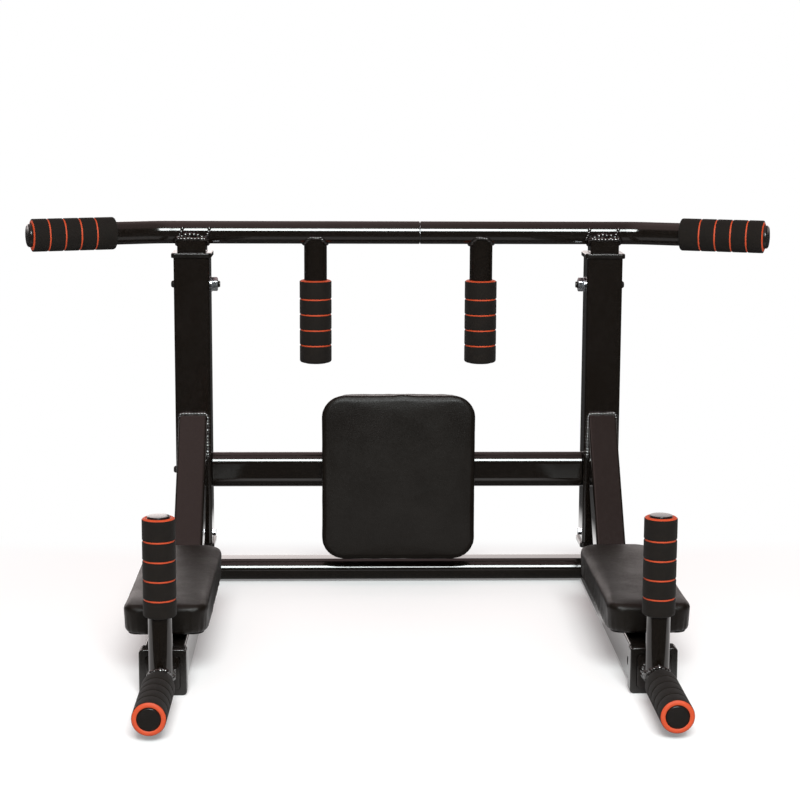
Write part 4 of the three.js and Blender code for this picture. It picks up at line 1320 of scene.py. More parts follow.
def grip(
    name,
    node,
    origin,
    direction,
    tube_r,
    foam,
    body,
    first,
    step=RING_STEP,
    sunk=GROOVE,
    end_inset=0.5 * MM,
):
    """origin is the ringed end, and direction runs from it along the grip."""
    outer = tube_r + foam
    bore = tube_r + 0.1 * MM
    matrix = towards(origin, direction)
    centres = [first + k * step for k in range(RING_COUNT)]
    profile = foam_profile(bore, outer, centres)
    foam_piece = turned(f"foam_{name}", profile, matrix, FOAM, sides=72)
    dress(foam_piece, body, "foam", node, weighted=False)
    values = {
        "Count": RING_COUNT,
        "First": first,
        "Step": step,
        "Radius": outer - sunk - RING_DEPTH / 2,
        "Width": RING_WIDTH + 0.6 * MM,
        "Depth": RING_DEPTH,
        "Edge": 0.7 * MM,
        "Material": RING,
    }
    anything = path_mesh([Vector((0, 0, 0)), Vector((0, 0, MM))])
    rings = run_tree(f"rings_{name}", anything, ring_tree, values)
    place_mesh(rings, matrix)
    rings.data.shade_smooth()
    dress(rings, body, "foam", weighted=False)
    inner, rim = tube_r - 1.5 * MM, outer - end_inset
    cap = []
    for t in (k / PUFF_STEPS for k in range(PUFF_STEPS + 1)):
        cap.append((inner + (rim - inner) * t, 0.75 * MM - END_PUFF * math.sin(math.pi * t)))
    under = END_RING + 0.4 * MM
    cap += [(rim, under), (bore, under), (bore, 1.2 * MM), (inner, 1.2 * MM)]
    end_ring = turned(f"end_ring_{name}", cap, matrix, RING, sides=72)
    dress(end_ring, body, "foam", weighted=False)


print("a grip has", RING_COUNT, "rings and an end ring")

# %% [markdown]
# There are eight grips: two on the bar's ends, two on the hanging tubes, and two on each dip
# handle. The last ones are thinner, as their tube is. Where the first ring sits differs from
# grip to grip, as measured in the photograph.

# %% Grips
BAR_FOAM, DIP_FOAM = 6.5 * MM, 5.3 * MM
for side, name in SIDES:
    bar, handle = "pull_up_bar", f"dip_handle_{name}"
    tip, run = bar_tips[name]
    node = f"bar_grip_{name}"
    grip(f"bar_{name}", node, tip, -run, BAR_R, BAR_FOAM, bar, 22 * MM, end_inset=2 * MM)
    node = f"hanging_grip_{name}"
    top = Vector((middle(node).x, POST_Y, high(node).z))
    grip(f"hanging_{name}", node, top, -Z, BAR_R, BAR_FOAM, bar, 26 * MM)
    node = f"dip_front_grip_{name}"
    front = Vector((middle(node).x, low(node).y, middle(node).z))
    grip(f"dip_front_{name}", node, front, Y, DIP_R, DIP_FOAM, handle, 24 * MM, sunk=1.5 * MM)
    node = f"dip_top_grip_{name}"
    top = Vector((middle(node).x, middle(node).y, high(node).z))
    grip(f"dip_top_{name}", node, top, -Z, DIP_R, DIP_FOAM, handle, 26 * MM, step=23 * MM)
print("grips:", 8)

# %% [markdown]
# ## Plugs
#
# The bar's ends carry domed plugs that stand out of the grips. The dip handles have flat
# discs, flush with their orange end rings, and the hanging tubes the same underneath.


# %% Tube plugs
PLUG_DEEP, PLUG_PLAY = 16 * MM, 0.3 * MM
CROWN_PARTS, ROUNDING_PARTS = 4, 6


def plug(name, node, at, out, head_r, insert_r, dome, body, edge=2.5 * MM, crown=0.35 * MM):
    """out points out of the tube."""
    edge = min(edge, 0.6 * dome)
    profile = [(0, dome)]
    for t in (k / CROWN_PARTS for k in range(1, CROWN_PARTS + 1)):
        profile.append(((head_r - edge) * t, dome - crown * t**2))
    for k in range(1, ROUNDING_PARTS + 1):
        t = math.pi / 2 * k / ROUNDING_PARTS
        depth = dome - crown - edge * (1 - math.cos(t))
        profile.append((head_r - edge + edge * math.sin(t), depth))
    profile += [(head_r, 0.1 * MM), (insert_r, 0.1 * MM), (insert_r, -PLUG_DEEP), (0, -PLUG_DEEP)]
    piece = turned(name, profile, towards(at, out), CAP_PLASTIC, sides=64)
    dress(piece, body, "black_plastic", node, weighted=False)


bar_insert, dip_insert = BAR_BORE - PLUG_PLAY, DIP_R - DIP_WALL - PLUG_PLAY
for side, name in SIDES:
    bar, handle = "pull_up_bar", f"dip_handle_{name}"
    tip, run = bar_tips[name]
    node = f"bar_plug_{name}"
    plug(f"bar_end_plug_{name}", node, tip, run, BAR_R, bar_insert, 7 * MM, bar, crown=1.3 * MM)
    node = f"hanging_plug_{name}"
    at = Vector((middle(node).x, POST_Y, low(f"hanging_tube_{name}").z))
    plug(f"hanging_end_plug_{name}", node, at, -Z, BAR_R, bar_insert, 1.6 * MM, bar)
    grip_box = f"dip_front_grip_{name}"
    at = Vector((middle(grip_box).x, low(grip_box).y, middle(grip_box).z))
    title, node, head_r = f"handle_front_plug_{name}", f"dip_front_plug_{name}", DIP_R - DIP_WALL
    plug(title, node, at, -Y, head_r, dip_insert, 1.4 * MM, handle, edge=1 * MM)
    grip_box = f"dip_top_grip_{name}"
    at = Vector((middle(grip_box).x, middle(grip_box).y, high(grip_box).z))
    title, node, head_r = f"handle_top_plug_{name}", f"dip_top_plug_{name}", DIP_R - 0.7 * MM
    plug(title, node, at, Z, head_r, dip_insert, 2.9 * MM, handle, edge=1 * MM)
print("plugs:", 8)

# %% [markdown]
# ## Pads
#
# Each pad is a board, a block of foam and a skin of vinyl pulled round both and stapled
# behind. Pulling makes the sides draw in, the face rise in the middle and the corners gather
# in small pleats. A cloth simulation gives the first two: the blank is remeshed to even
# squares, its underside is held, and air pressure inside it does the rest. How far a point
# may move is capped, because these pads are firm. The pleats are moved in by a formula.

# %% Pad blank
PAD_EDGE = 4.5 * MM
CORNER_PARTS, EDGE_PARTS = 10, 5


def corners_of(width, length, radii, steps=CORNER_PARTS):
    """An outline with its own radius at each corner: right far, left far, left near, right near."""
    points = []
    quarters = ((1, 1), (-1, 1), (-1, -1), (1, -1))
    for quarter, ((sx, sy), radius) in enumerate(zip(quarters, radii)):
        for k in range(steps + 1):
            t = (quarter + k / steps) * math.pi / 2
            x = sx * (width / 2 - radius) + radius * math.cos(t)
            y = sy * (length / 2 - radius) + radius * math.sin(t)
            points.append((x, y))
    return points


def pad_blank(name, width, length, thick, radii):
    """Face up, flat underside at z = 0."""
    section = [
        (1.4 * PAD_EDGE, 0),
        (0.3 * PAD_EDGE, 0.1 * PAD_EDGE),
        (0, 0.8 * PAD_EDGE),
        (0, thick - PAD_EDGE),
    ]
    for k in range(1, EDGE_PARTS + 1):
        t = math.pi / 2 * k / EDGE_PARTS
        section.append((PAD_EDGE * (1 - math.cos(t)), thick - PAD_EDGE * (1 - math.sin(t))))
    rings = []
    for inset, height in section:
        inner_radii = [max(r - inset, 2 * MM) for r in radii]
        outline = corners_of(width - 2 * inset, length - 2 * inset, inner_radii)
        rings.append([Vector((x, y, height)) for x, y in outline])
    return shell(name, rings, VINYL)


print("blank tools ready")

# %% [markdown]
# The simulation runs for twenty frames with no gravity, and only pressure moves the vinyl.
# Its raw result is too lively for a firm pad, so each point's move is averaged with its
# neighbours' many times, and then held under a cap that it nears but never passes.

# %% Pad simulation
VOXEL = 3.6 * MM
HELD_BELOW = 5 * MM
PRESSURE, FRAMES = 4.0, 20
CALM_ROUNDS, CALM_SHARE = 40, 0.6


def points_of(mesh):
    flat = np.empty(len(mesh.vertices) * 3)
    mesh.vertices.foreach_get("co", flat)
    return flat.reshape(-1, 3)


def calm(mesh, moves):
    """Averages each point's move with its neighbours', so that firm foam shows no creases."""
    pairs = np.empty(len(mesh.edges) * 2, dtype=np.int32)
    mesh.edges.foreach_get("vertices", pairs)
    a, b = pairs.reshape(-1, 2).T
    count = np.bincount(np.concatenate([a, b]), minlength=len(moves))[:, None]
    for _ in range(CALM_ROUNDS):
        total = np.zeros_like(moves)
        np.add.at(total, a, moves[b])
        np.add.at(total, b, moves[a])
        moves = (1 - CALM_SHARE) * moves + CALM_SHARE * total / np.maximum(count, 1)
    return moves


def inflate(piece, cap):
    """Remeshes a closed blank and lets air pressure fill it, with its underside held."""
    squares = piece.modifiers.new("even squares", "REMESH")
    squares.mode, squares.voxel_size = "VOXEL", VOXEL
    graph = bpy.context.evaluated_depsgraph_get()
    piece.data = bpy.data.meshes.new_from_object(piece.evaluated_get(graph))
    piece.modifiers.clear()
    before = points_of(piece.data)
    held = piece.vertex_groups.new(name="held")
    held.add([i for i, p in enumerate(before) if p[2] < HELD_BELOW], 1.0, "REPLACE")
    cloth = piece.modifiers.new("air", "CLOTH")
    cloth.settings.vertex_group_mass = "held"
    cloth.settings.use_pressure = True
    cloth.settings.uniform_pressure_force = PRESSURE
    cloth.settings.effector_weights.gravity = 0
    cloth.settings.quality = 5
    scene = bpy.context.scene
    for k in range(1, FRAMES + 1):
        scene.frame_set(k)
    graph = bpy.context.evaluated_depsgraph_get()
    filled = bpy.data.meshes.new_from_object(piece.evaluated_get(graph))
    after = points_of(filled)
    piece.modifiers.clear()
    scene.frame_set(1)
    moved = calm(piece.data, after - before)
    reach = np.linalg.norm(moved, axis=1, keepdims=True)
    moved *= cap * np.tanh(reach / cap) / np.maximum(reach, 1e-9)
    piece.data.vertices.foreach_set("co", (before + moved).ravel())
    piece.vertex_groups.clear()
    piece.data.materials.clear()
    piece.data.materials.append(VINYL)
    print(piece.name, "has", len(before), "points")


# %% [markdown]
# The gathers: round a corner the vinyl has too much cloth for the tighter back edge, so it
# folds. The formula follows the outline of the pad by its arc length and presses narrow
# valleys into the side wall, deepest at the back edge and gone below the face. They are
# regular at the corners, and shallow and uneven on the straight sides. There the staples
# tug the lower edge into scallops, the wall is drawn in at half its height, and a low lip
# of foam bulges over the board. All lengths here are small: the pads look firm.

# %% Pleats, fit and crown
PLEAT_DEPTH, PLEAT_PITCH = 1.6 * MM, 9 * MM
SIDE_WAVE = 0.7 * MM
LOWER_LIP, LIP_AT, LIP_WIDE = 0.6 * MM, 0.16, 0.12
STAPLE_PITCH, SCALLOP = 13 * MM, 1.1 * MM
FACE_WAVE = 0.2 * MM


def share_of(value, start, stop):
    """0 before start, 1 after stop and straight between, whichever of them is the larger."""
    return min(max((value - start) / (stop - start), 0), 1)


def tailor(
    piece,
    width,
    length,
    thick,
    radii,
    crown,
    waist=0.8 * MM,
    lip=LOWER_LIP,
    tuck=2 * MM,
    scallop=SCALLOP,
):
    """Fits the pad to its box and adds gathers, drawn-in sides and a crowned face.

    Heights run from 0 at the back edge to 1 at the face.
    """
    co = points_of(piece.data)
    lo, hi = co.min(0), co.max(0)
    centre = (lo + hi) / 2
    co[:, :2] = (co[:, :2] - centre[:2]) * (np.array([width, length]) / (hi - lo)[:2])
    co[:, 2] = (co[:, 2] - lo[2]) * (thick / (hi[2] - lo[2]))
    radius_at = {(1, 1): radii[0], (-1, 1): radii[1], (-1, -1): radii[2], (1, -1): radii[3]}
    for i, (x, y, z) in enumerate(co):
        height = z / thick
        sx, sy = (1 if x > 0 else -1), (1 if y > 0 else -1)
        corner = radius_at[(sx, sy)]
        in_x, in_y = abs(x) - (width / 2 - corner), abs(y) - (length / 2 - corner)
        low_down = share_of(height, 0.72, 0.22)
        if in_x > 0 and in_y > 0:
            away = Vector((sx * in_x, sy * in_y))
            if away.length > 0.7 * corner:
                arc = corner * math.atan2(in_y, in_x)
                uneven = 0.8 * noise.noise((x * 50, y * 50, 0))
                fold = abs(math.sin(math.pi * arc / PLEAT_PITCH + uneven)) ** 0.6
                depth = PLEAT_DEPTH * (1 - fold) * low_down
                away.normalize()
                co[i, 0] -= away.x * depth
                co[i, 1] -= away.y * depth
        elif max(abs(x) / (width / 2), abs(y) / (length / 2)) > 0.93:
            along = y if in_x > in_y else x
            share = abs(along) / ((length if in_x > in_y else width) / 2)
            slow_wave = noise.noise((along * 70, height * 0.8, sx + 2 * sy))
            wave = SIDE_WAVE * slow_wave * (0.35 + low_down)
            uneven = noise.noise((along * 30, sx, sy))
            tugged = abs(math.sin(math.pi * along / STAPLE_PITCH + uneven)) - 0.5
            wave += scallop * tugged * share_of(height, 0.34, 0.14)
            half_way = math.sin(math.pi * min(max(height, 0), 1))
            pull = waist * (1 - min(share, 1) ** 2) * max(half_way, 0)
            push = lip * math.exp(-(((height - LIP_AT) / LIP_WIDE) ** 2))
            droop = 1.4 * scallop * (0.4 + noise.noise((x * 45, y * 45, 3)))
            co[i, 2] -= droop * max(1 - height / 0.3, 0)
            if in_x > in_y:
                co[i, 0] -= sx * (pull + wave - push)
            else:
                co[i, 1] -= sy * (pull + wave - push)
        if height > 0.6:
            across, down = abs(x) / (width / 2), abs(y) / (length / 2)
            dome = max(0, 1 - across**2.5) * max(0, 1 - down**4)
            co[i, 2] += crown * (dome - 1) + FACE_WAVE * noise.noise((x * 18, y * 18, 7))
    drawn_in = tuck * np.clip(1 - co[:, 2] / (0.85 * thick), 0, 1)
    co[:, 0] *= 1 - 2 * drawn_in / width
    co[:, 1] *= 1 - 2 * drawn_in / length
    piece.data.vertices.foreach_set("co", co.ravel())
    piece.data.update()
    piece.data.shade_smooth()
    fine = piece.modifiers.new("finer", "SUBSURF")
    fine.levels = fine.render_levels = 1
    graph = bpy.context.evaluated_depsgraph_get()
    piece.data = bpy.data.meshes.new_from_object(piece.evaluated_get(graph))
    piece.modifiers.clear()


def settle(piece, matrix, node, body="frame"):
    place_mesh(piece, matrix)
    piece.data.shade_smooth()
    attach(piece, body)
    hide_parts(node)


print("pad tools ready")

# %% [markdown]
# The blank of a pad is a little smaller than the pad, because air and fit make it grow. The
# corners of the arm pads are tighter in front, where the user's hands are, than at the rear.

# %% Arm pads
FRONT_CORNER, REAR_CORNER = 20 * MM, 34 * MM
GROWTH = (3 * MM, 3 * MM, 2 * MM)
for side, name in SIDES:
    node = f"arm_pad_{name}"
    extent = high(node) - low(node)
    radii = (REAR_CORNER, REAR_CORNER, FRONT_CORNER, FRONT_CORNER)
    blank = (size - more for size, more in zip(extent, GROWTH))
    cushion = pad_blank(f"arm_cushion_{name}", *blank, [r - MM for r in radii])
    inflate(cushion, 1.6 * MM)
    tailor(cushion, extent.x, extent.y, extent.z, radii, crown=1.2 * MM)
    at = middle(node)
    settle(cushion, Matrix.Translation((at.x, at.y, low(node).z)), node)
print("arm pads:", 2)

# %% [markdown]
# The back pad has two marks of its own. A shallow line runs round its face a few
# millimetres in from the edge, where the foam's chamfer ends under the vinyl. And in the
# middle of its top edge a small fold stands up, where the cloth was caught while stapling.

# %% Back pad
BACK_CORNER = 33 * MM
EDGE_LINE_IN, EDGE_LINE_DEEP, EDGE_LINE_WIDE = 4.5 * MM, 0.3 * MM, 1.2 * MM
FOLD_AT, FOLD_HIGH, FOLD_LONG, FOLD_DEEP = 6 * MM, 1.8 * MM, 9 * MM, 8 * MM
NOTCH_AT, NOTCH_WIDE, NOTCH_SHARE = FOLD_AT + 3 * MM, 1.6 * MM, 0.45
BACK_HOLLOW, HOLLOW_IN = 2.5 * MM, 13 * MM
GROWN = (3 * MM, 4 * MM)


def hump(value, at, wide):
    """A smooth hump, 1 at its middle."""
    return math.exp(-(((value - at) / wide) ** 2))


def inside_outline(x, y, width, length, radius):
    """How far a point lies inside a rounded rectangle."""
    dx, dy = abs(x) - (width / 2 - radius), abs(y) - (length / 2 - radius)
    outside = math.hypot(max(dx, 0), max(dy, 0)) + min(max(dx, dy), 0)
    return radius - outside


node = "back_pad"
extent = high(node) - low(node)
blank = (size - more for size, more in zip((extent.x, extent.z, extent.y), GROWTH))
cushion = pad_blank("back_cushion", *blank, [BACK_CORNER - MM] * 4)
inflate(cushion, 1.4 * MM)
grown = (extent.x + GROWN[0], extent.z + GROWN[1], extent.y)
flat_look = {"crown": 0.4 * MM, "waist": 0.4 * MM, "lip": 0.2 * MM, "tuck": 4.5 * MM, "scallop": 0}
tailor(cushion, *grown, [BACK_CORNER] * 4, **flat_look)
co = points_of(cushion.data)
for i, (x, y, z) in enumerate(co):
    inside = inside_outline(x, y, extent.x, extent.z, BACK_CORNER)
    if z > 0.8 * extent.y:
        co[i, 2] -= EDGE_LINE_DEEP * hump(inside, EDGE_LINE_IN, EDGE_LINE_WIDE)
    if y > extent.z / 2 - FOLD_DEEP and abs(x - FOLD_AT) < 3 * FOLD_LONG:
        bump = hump(x, FOLD_AT, FOLD_LONG) - NOTCH_SHARE * hump(x, NOTCH_AT, NOTCH_WIDE)
        at_top = share_of(y, extent.z / 2 - FOLD_DEEP, extent.z / 2)
        co[i, 1] += FOLD_HIGH * bump * at_top * min(1, 1.4 * z / extent.y)
    if z < 1.5 * MM:
        co[i, 2] += BACK_HOLLOW * share_of(inside, HOLLOW_IN, HOLLOW_IN + 3 * MM)
cushion.data.vertices.foreach_set("co", co.ravel())
cushion.data.update()
at = middle(node)
upright_pad = Matrix.Translation((at.x, high(node).y, at.z)) @ Matrix.Rotation(math.pi / 2, 4, "X")
settle(cushion, upright_pad, node)
print("back pad faces the user")

# %% [markdown]
# Behind, the vinyl is folded over the board and stapled down. Its cut edge is never quite
# straight, so the inner outline wanders. The staples are set along a path by the first tree,
# the same one that laid the welds.


# %% How a margin is made
CUT_WANDER, CUT_RATE = 1.4 * MM, 60
STAPLE_WIRE = [(0, -4.5), (0.45, -4.4), (0.6, -4), (0.6, 4), (0.45, 4.4), (0, 4.5)]


def margin(name, matrix, outer, inner, thick, body="frame"):
    """A flat frame of vinyl between two outlines, its cut edge inside."""
    cut = []
    for x, y in inner:
        off_x, off_y = (noise.noise((x * CUT_RATE, y * CUT_RATE, seed)) for seed in (1, 2))
        cut.append((x + CUT_WANDER * off_x, y + CUT_WANDER * off_y))
    rim = [(0.994 * x, 0.994 * y) for x, y in outer]
    rings = [(outer, 0), (outer, 0.5 * thick), (rim, thick), (cut, thick), (cut, 0)]
    placed = [[matrix @ Vector((x, y, z)) for x, y in ring] for ring, z in rings]
    piece = shell(name, placed, VINYL, closed=True)
    return dress(piece, body, "vinyl", weighted=False)


def staples(name, matrix, outline, body="frame", seed=1):
    profile = [(r * MM, z * MM) for r, z in STAPLE_WIRE]
    wire = turned("staple", profile, towards((0, 0, 0), X), ZINC, sides=8)
    values = {
        "Piece": wire,
        "Pitch": 21 * MM,
        "Smallest": 0.98,
        "Largest": 1.02,
        "Seed": seed,
        "Material": ZINC,
    }
    line = path_mesh([Vector((x, y, 0)) for x, y in outline], True)
    row = run_tree(name, line, path_tree, values)
    bpy.data.objects.remove(wire)
    place_mesh(row, matrix)
    return dress(row, body, "zinc", weighted=False)


def frame_outline(width, length, radii, inset, steps=24):
    inner_radii = [max(r - inset, 3 * MM) for r in radii]
    return corners_of(width - 2 * inset, length - 2 * inset, inner_radii, steps)


def lifted(by):
    return Matrix.Translation((0, 0, by))


print("margin tools ready")

# %% [markdown]
# On the back pad the margin is wide and lies bare round the board. Under an arm pad it is
# narrower, and a black cloth is stapled over it and the board.

# %% Margins, staples and backing cloth
node = "back_pad"
rear_middle = Matrix.Translation((middle(node).x, high(node).y, middle(node).z))
backward = rear_middle @ Matrix.Rotation(-math.pi / 2, 4, "X")
size = high(node) - low(node)
radii = [BACK_CORNER] * 4
outer, inner = (frame_outline(size.x, size.z, radii, inset) for inset in (6.5 * MM, 27 * MM))
margin("back_pad_margin", backward, outer, inner, 1.1 * MM)
line = frame_outline(size.x, size.z, radii, 19 * MM)
staples("back_pad_staples", backward @ lifted(1.3 * MM), line)
BACKING_SECTION = ((10 * MM, 3 * MM), (10 * MM, -0.1 * MM), (10.4 * MM, -0.12 * MM))
for side, name in SIDES:
    node = f"arm_pad_{name}"
    size = high(node) - low(node)
    below = Vector((middle(node).x, middle(node).y, low(node).z))
    under = Matrix.Translation(below) @ Matrix.Rotation(math.pi, 4, "Y")
    radii = [REAR_CORNER, REAR_CORNER, FRONT_CORNER, FRONT_CORNER]
    outer, inner = (frame_outline(size.x, size.y, radii, inset) for inset in (7 * MM, 22 * MM))
    margin(f"arm_pad_margin_{name}", under, outer, inner, 0.25 * MM)
    rings = []
    for inset, z in BACKING_SECTION:
        rings.append(lay(frame_outline(size.x, size.y, radii, inset), below + Z * z, X, Y))
    cloth = shell(f"arm_pad_backing_{name}", rings, BACKING)
    dress(cloth, "frame", "vinyl", weighted=False)
    line = frame_outline(size.x, size.y, radii, 14 * MM)
    staples(f"arm_pad_staples_{name}", under @ lifted(0.6 * MM), line)
print("margins and staples: 3 pads")

# %% [markdown]
# Four round-headed screws hold the plate behind the back pad. As on the bolts, the profile
# runs from the middle of the head out to its rim and back under it.

# %% Screws of the back pad's plate
PLATE_REACH = 60 * MM
ROUND_HEAD = [(0, 1.3), (1.2, 1.3), (2, 2.6), (3.6, 2.3), (4.7, 1.3), (5, 0.2), (5, -1), (0, -1)]
plate = middle("back_pad_plate")
plate_rear = high("back_pad_plate").y
for k, (sx, sz) in enumerate(((1, 1), (-1, 1), (-1, -1), (1, -1))):
    at = Vector((plate.x + sx * PLATE_REACH, plate_rear, plate.z + sz * PLATE_REACH))
    profile = [(r * MM, z * MM) for r, z in ROUND_HEAD]
    screw = turned(f"pad_screw_{k + 1}", profile, towards(at, Y), ZINC, sides=32)
    dress(screw, "frame", "zinc", weighted=False)
print("pad screws:", 4)

# %% [markdown]
# ## Painted sheet and board
#
# The channels under the arm pads, the plate behind the back pad and the board keep their
# solids, which have the right shape already. They only take a better finish.

# %% Finish the solids that stay
for node, material in (
    ("arm_pad_channel_left", PAINT),
    ("arm_pad_channel_right", PAINT),
    ("back_pad_plate", PAINT),
    ("back_pad_board", PLYWOOD),
    ("bar_joiner", STEEL),
):
    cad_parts[node].data.materials.clear()
    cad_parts[node].data.materials.append(material)
print("solids with a new finish:", 5)

# %% [markdown]
# ## Floor, light and camera
#
# The photograph was taken on a white sweep, with one broad lamp in front and above and
# white all round. The floor near the object takes its shadow. Further out it turns into a
# plain white that only the camera and mirror-like reflections see, so no edge shows.

# %% Floor
REACH = 30
corners = [(-REACH, -REACH, 0), (REACH, -REACH, 0), (REACH, REACH, 0), (-REACH, REACH, 0)]
floor_mesh = bpy.data.meshes.new("floor")
floor_mesh.from_pydata(corners, [], [(0, 1, 2, 3)])
floor = bpy.data.objects.new("floor", floor_mesh)
bpy.context.scene.collection.objects.link(floor)
floor_material = bpy.data.materials.new("white_sweep")
floor_material.use_nodes = True
floor_mesh.materials.append(floor_material)
tree = floor_material.node_tree
tree.nodes.clear()
rays = add_node(tree, "ShaderNodeLightPath")
place = add_node(tree, "ShaderNodeTexCoord").outputs["Object"]
along_y = add_node(tree, "ShaderNodeSeparateXYZ", {0: place}).outputs["Y"]
distance = add_node(tree, "ShaderNodeVectorMath", {0: place}, operation="LENGTH")
distance = distance.outputs["Value"]


def larger(a, b):
    return add_node(tree, "ShaderNodeMath", {0: a, 1: b}, operation="MAXIMUM").outputs[0]


def mixed(share, a, b):
    return add_node(tree, "ShaderNodeMixShader", {0: share, 1: a, 2: b}).outputs[0]


def glow(colour, strength):
    values = {"Color": (*colour, 1), "Strength": strength}
    return add_node(tree, "ShaderNodeEmission", values).outputs[0]


print("floor is", 2 * REACH, "m wide")

# %% [markdown]
# What the camera sees: paper with the object's shadow on it, and the further out, the more
# of a plain white glow. A fifth of that glow is there from the start, because the shadows in
# the photograph are pale.

# %% The floor as the camera sees it
SHADOW_LIFT = 0.22
paper = add_node(tree, "ShaderNodeBsdfDiffuse", {"Color": (0.965, 0.975, 0.975, 1)}).outputs[0]
white = glow((1, 1, 1), 1.0)
far_out = larger(ramp(tree, distance, 0.42, 1.0), ramp(tree, along_y, 0.4, 0.6))
glow_share = ramp(tree, far_out, 0, 1, SHADOW_LIFT, 1, soft=False)
for_camera = mixed(times(tree, glow_share, rays.outputs["Is Camera Ray"]), paper, white)
print("paper:", [round(value, 3) for value in paper.node.inputs["Color"].default_value][:3])

# %% [markdown]
# What the gloss paint mirrors is another matter. A glossy ray is one that has just bounced
# off something shiny, and its length tells how near the floor it was: a wall that stands on
# the floor sends short rays, a tube higher up sends long ones. The photograph shows what
# each of them mirrors. In front the floor is nearly dark. Between the frames it is brighter,
# most of all for low parts. Right behind the posts it is dim, and further back bright again
# for low parts. And the inner walls of the arms mirror the real paper right beside them,
# with the shadow on it.

# %% The floor as the paint mirrors it
# For glossy rays the floor is a glow of set strengths, though it is no lamp: these levels are
# painted reflections, and the dim band right behind the posts is a painted shadow of the frame in
# them.
FRONT_DARK, FAR_DARK = 0.08, 0.05
under_frame = ramp(tree, along_y, 0.1, 0.25, 0.55, 0.12)
low_part = ramp(tree, rays.outputs["Ray Length"], 0.35, 0.55, 1.6, 0)
between = ramp(tree, under_frame, 0.36, 0.52, soft=False)
behind = ramp(tree, along_y, 0.42, 0.5)
level = larger(under_frame, times(tree, low_part, larger(between, behind)))
lit = ramp(tree, along_y, -0.34, -0.12, FRONT_DARK, level)
strength = ramp(tree, ramp(tree, distance, 0.5, 1.3), 0, 1, lit, FAR_DARK, soft=False)
dim = glow((1, 0.98, 0.97), strength)
in_front = ramp(tree, along_y, -0.32, -0.29, soft=False)
before_posts = ramp(tree, along_y, 0.1, 0.2, 1, 0, soft=False)
short_ray = ramp(tree, rays.outputs["Ray Length"], 0.32, 0.4, 1, 0, soft=False)
beside_arm = times(tree, times(tree, in_front, before_posts), short_ray)
for_paint = mixed(beside_arm, dim, mixed(SHADOW_LIFT, paper, white))
surface = mixed(rays.outputs["Is Glossy Ray"], for_camera, for_paint)
out = add_node(tree, "ShaderNodeOutputMaterial", {"Surface": surface})
print("floor material:", len(tree.nodes), "nodes")

# %% [markdown]
# The room is not evenly bright. A black object shows that at once, because nearly all its
# light is reflection. Behind it stands the lit backdrop, overhead is a pale ceiling, and the
# room in front, behind the photographer, is dark. That darkness is what keeps the front
# faces of the posts black. For mirrored rays the room is also dimmer on the right, because
# walls that face right are darker in the photograph than those that face left. Only the
# camera sees plain white.

# %% World
FRONT_ROOM, CEILING, BACKDROP = 0.033, 0.66, 2.3
LEFT_SHARE, RIGHT_SHARE = 1.12, 0.64
world = bpy.data.worlds.new("studio")
bpy.context.scene.world = world
world.use_nodes = True
tree = world.node_tree
tree.nodes.clear()
view_way = add_node(tree, "ShaderNodeTexCoord").outputs["Generated"]
way = add_node(tree, "ShaderNodeSeparateXYZ", {0: view_way}).outputs
rays = add_node(tree, "ShaderNodeLightPath").outputs


def plus(a, b):
    return add_node(tree, "ShaderNodeMath", {0: a, 1: b}, operation="ADD").outputs[0]


def light(colour, strength):
    values = {"Color": (*colour, 1), "Strength": strength}
    return add_node(tree, "ShaderNodeBackground", values).outputs[0]


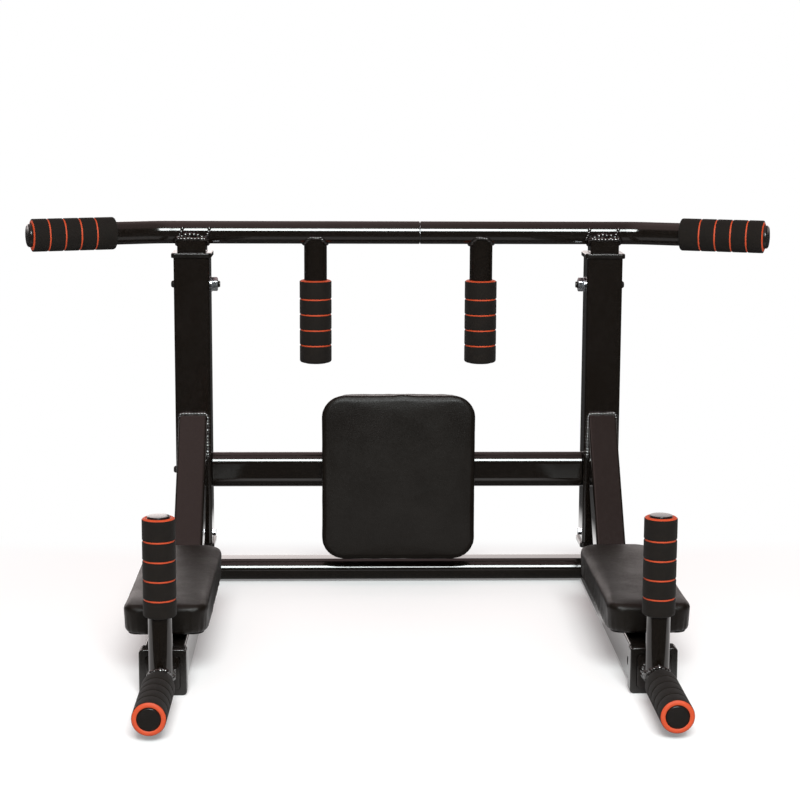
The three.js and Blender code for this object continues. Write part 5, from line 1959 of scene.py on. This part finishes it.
ceiling = times(tree, ramp(tree, way["Z"], 0.55, 0.8), CEILING)
low_behind = times(tree, ramp(tree, way["Y"], 0.45, 0.8), ramp(tree, way["Z"], 0.5, 0.3))
backdrop = times(tree, low_behind, BACKDROP)
across = ramp(tree, way["X"], -0.1, 0.15, LEFT_SHARE, RIGHT_SHARE, soft=False)
sideways = ramp(tree, rays["Is Glossy Ray"], 0, 1, 1, across, soft=False)
overhead = light((1, 0.7, 0.69), times(tree, ceiling, sideways))
around = light((1, 0.91, 0.89), times(tree, plus(backdrop, FRONT_ROOM), sideways))
room = add_node(tree, "ShaderNodeAddShader", {0: overhead, 1: around}).outputs[0]
seen = mixed(rays["Is Camera Ray"], room, light((1, 1, 1), 1.0))
out = add_node(tree, "ShaderNodeOutputWorld", {"Surface": seen})
print("world:", world.name)

# %% [markdown]
# One big softbox lights the front. Its size can be read off the photograph: on the round
# bar it shows as a white line two pixels thick, which on a 32 mm tube means a lamp that
# covers about 20 degrees. The line stops short of the bends, so the lamp is as wide as it
# is tall.


# %% Softbox
def softbox(name, place, aim, width, height, watts, colour):
    data = bpy.data.lights.new(name, "AREA")
    data.shape, data.size, data.size_y = "RECTANGLE", width, height
    data.energy, data.color = watts, colour
    lamp = bpy.data.objects.new(name, data)
    lamp.location = place
    lamp.rotation_euler = (Vector(aim) - Vector(place)).to_track_quat("-Z", "Y").to_euler()
    bpy.context.scene.collection.objects.link(lamp)
    return lamp


LAMP_AT, LAMP_AIM = (0.12, -3.75, 2.85), (0, 0.1, 0.3)
key = softbox("key_softbox", LAMP_AT, LAMP_AIM, 1.8, 1.7, 288, (0.945, 1, 0.995))
print("softbox:", round(key.data.size, 2), "by", round(key.data.size_y, 2), "m")

# %% [markdown]
# The camera stands where the photographer stood: 2.4 m in front of the object's middle and
# a little to its left, 72 cm up, looking 9 degrees down through a long lens.

# %% Camera
camera_data = bpy.data.cameras.new("photographer")
FOCAL_PIXELS, PICTURE_PIXELS = 1985.8, 800
camera_data.sensor_width = 36
camera_data.lens = FOCAL_PIXELS / PICTURE_PIXELS * 36
camera_data.clip_end = 200
camera = bpy.data.objects.new("photographer", camera_data)
bpy.context.scene.collection.objects.link(camera)
PITCH, YAW, ROLL = math.radians(9.345), math.radians(-1.641), math.radians(0.256)
turn = Matrix.Rotation(YAW, 4, "Z") @ Matrix.Rotation(math.pi / 2 - PITCH, 4, "X")
turn = turn @ Matrix.Rotation(ROLL, 4, "Z")
camera.matrix_world = Matrix.Translation((-0.0767, -2.449, 0.7227)) @ turn
bpy.context.scene.camera = camera
bpy.context.scene.view_settings.view_transform = "Standard"
print("lens:", round(camera_data.lens, 1), "mm")
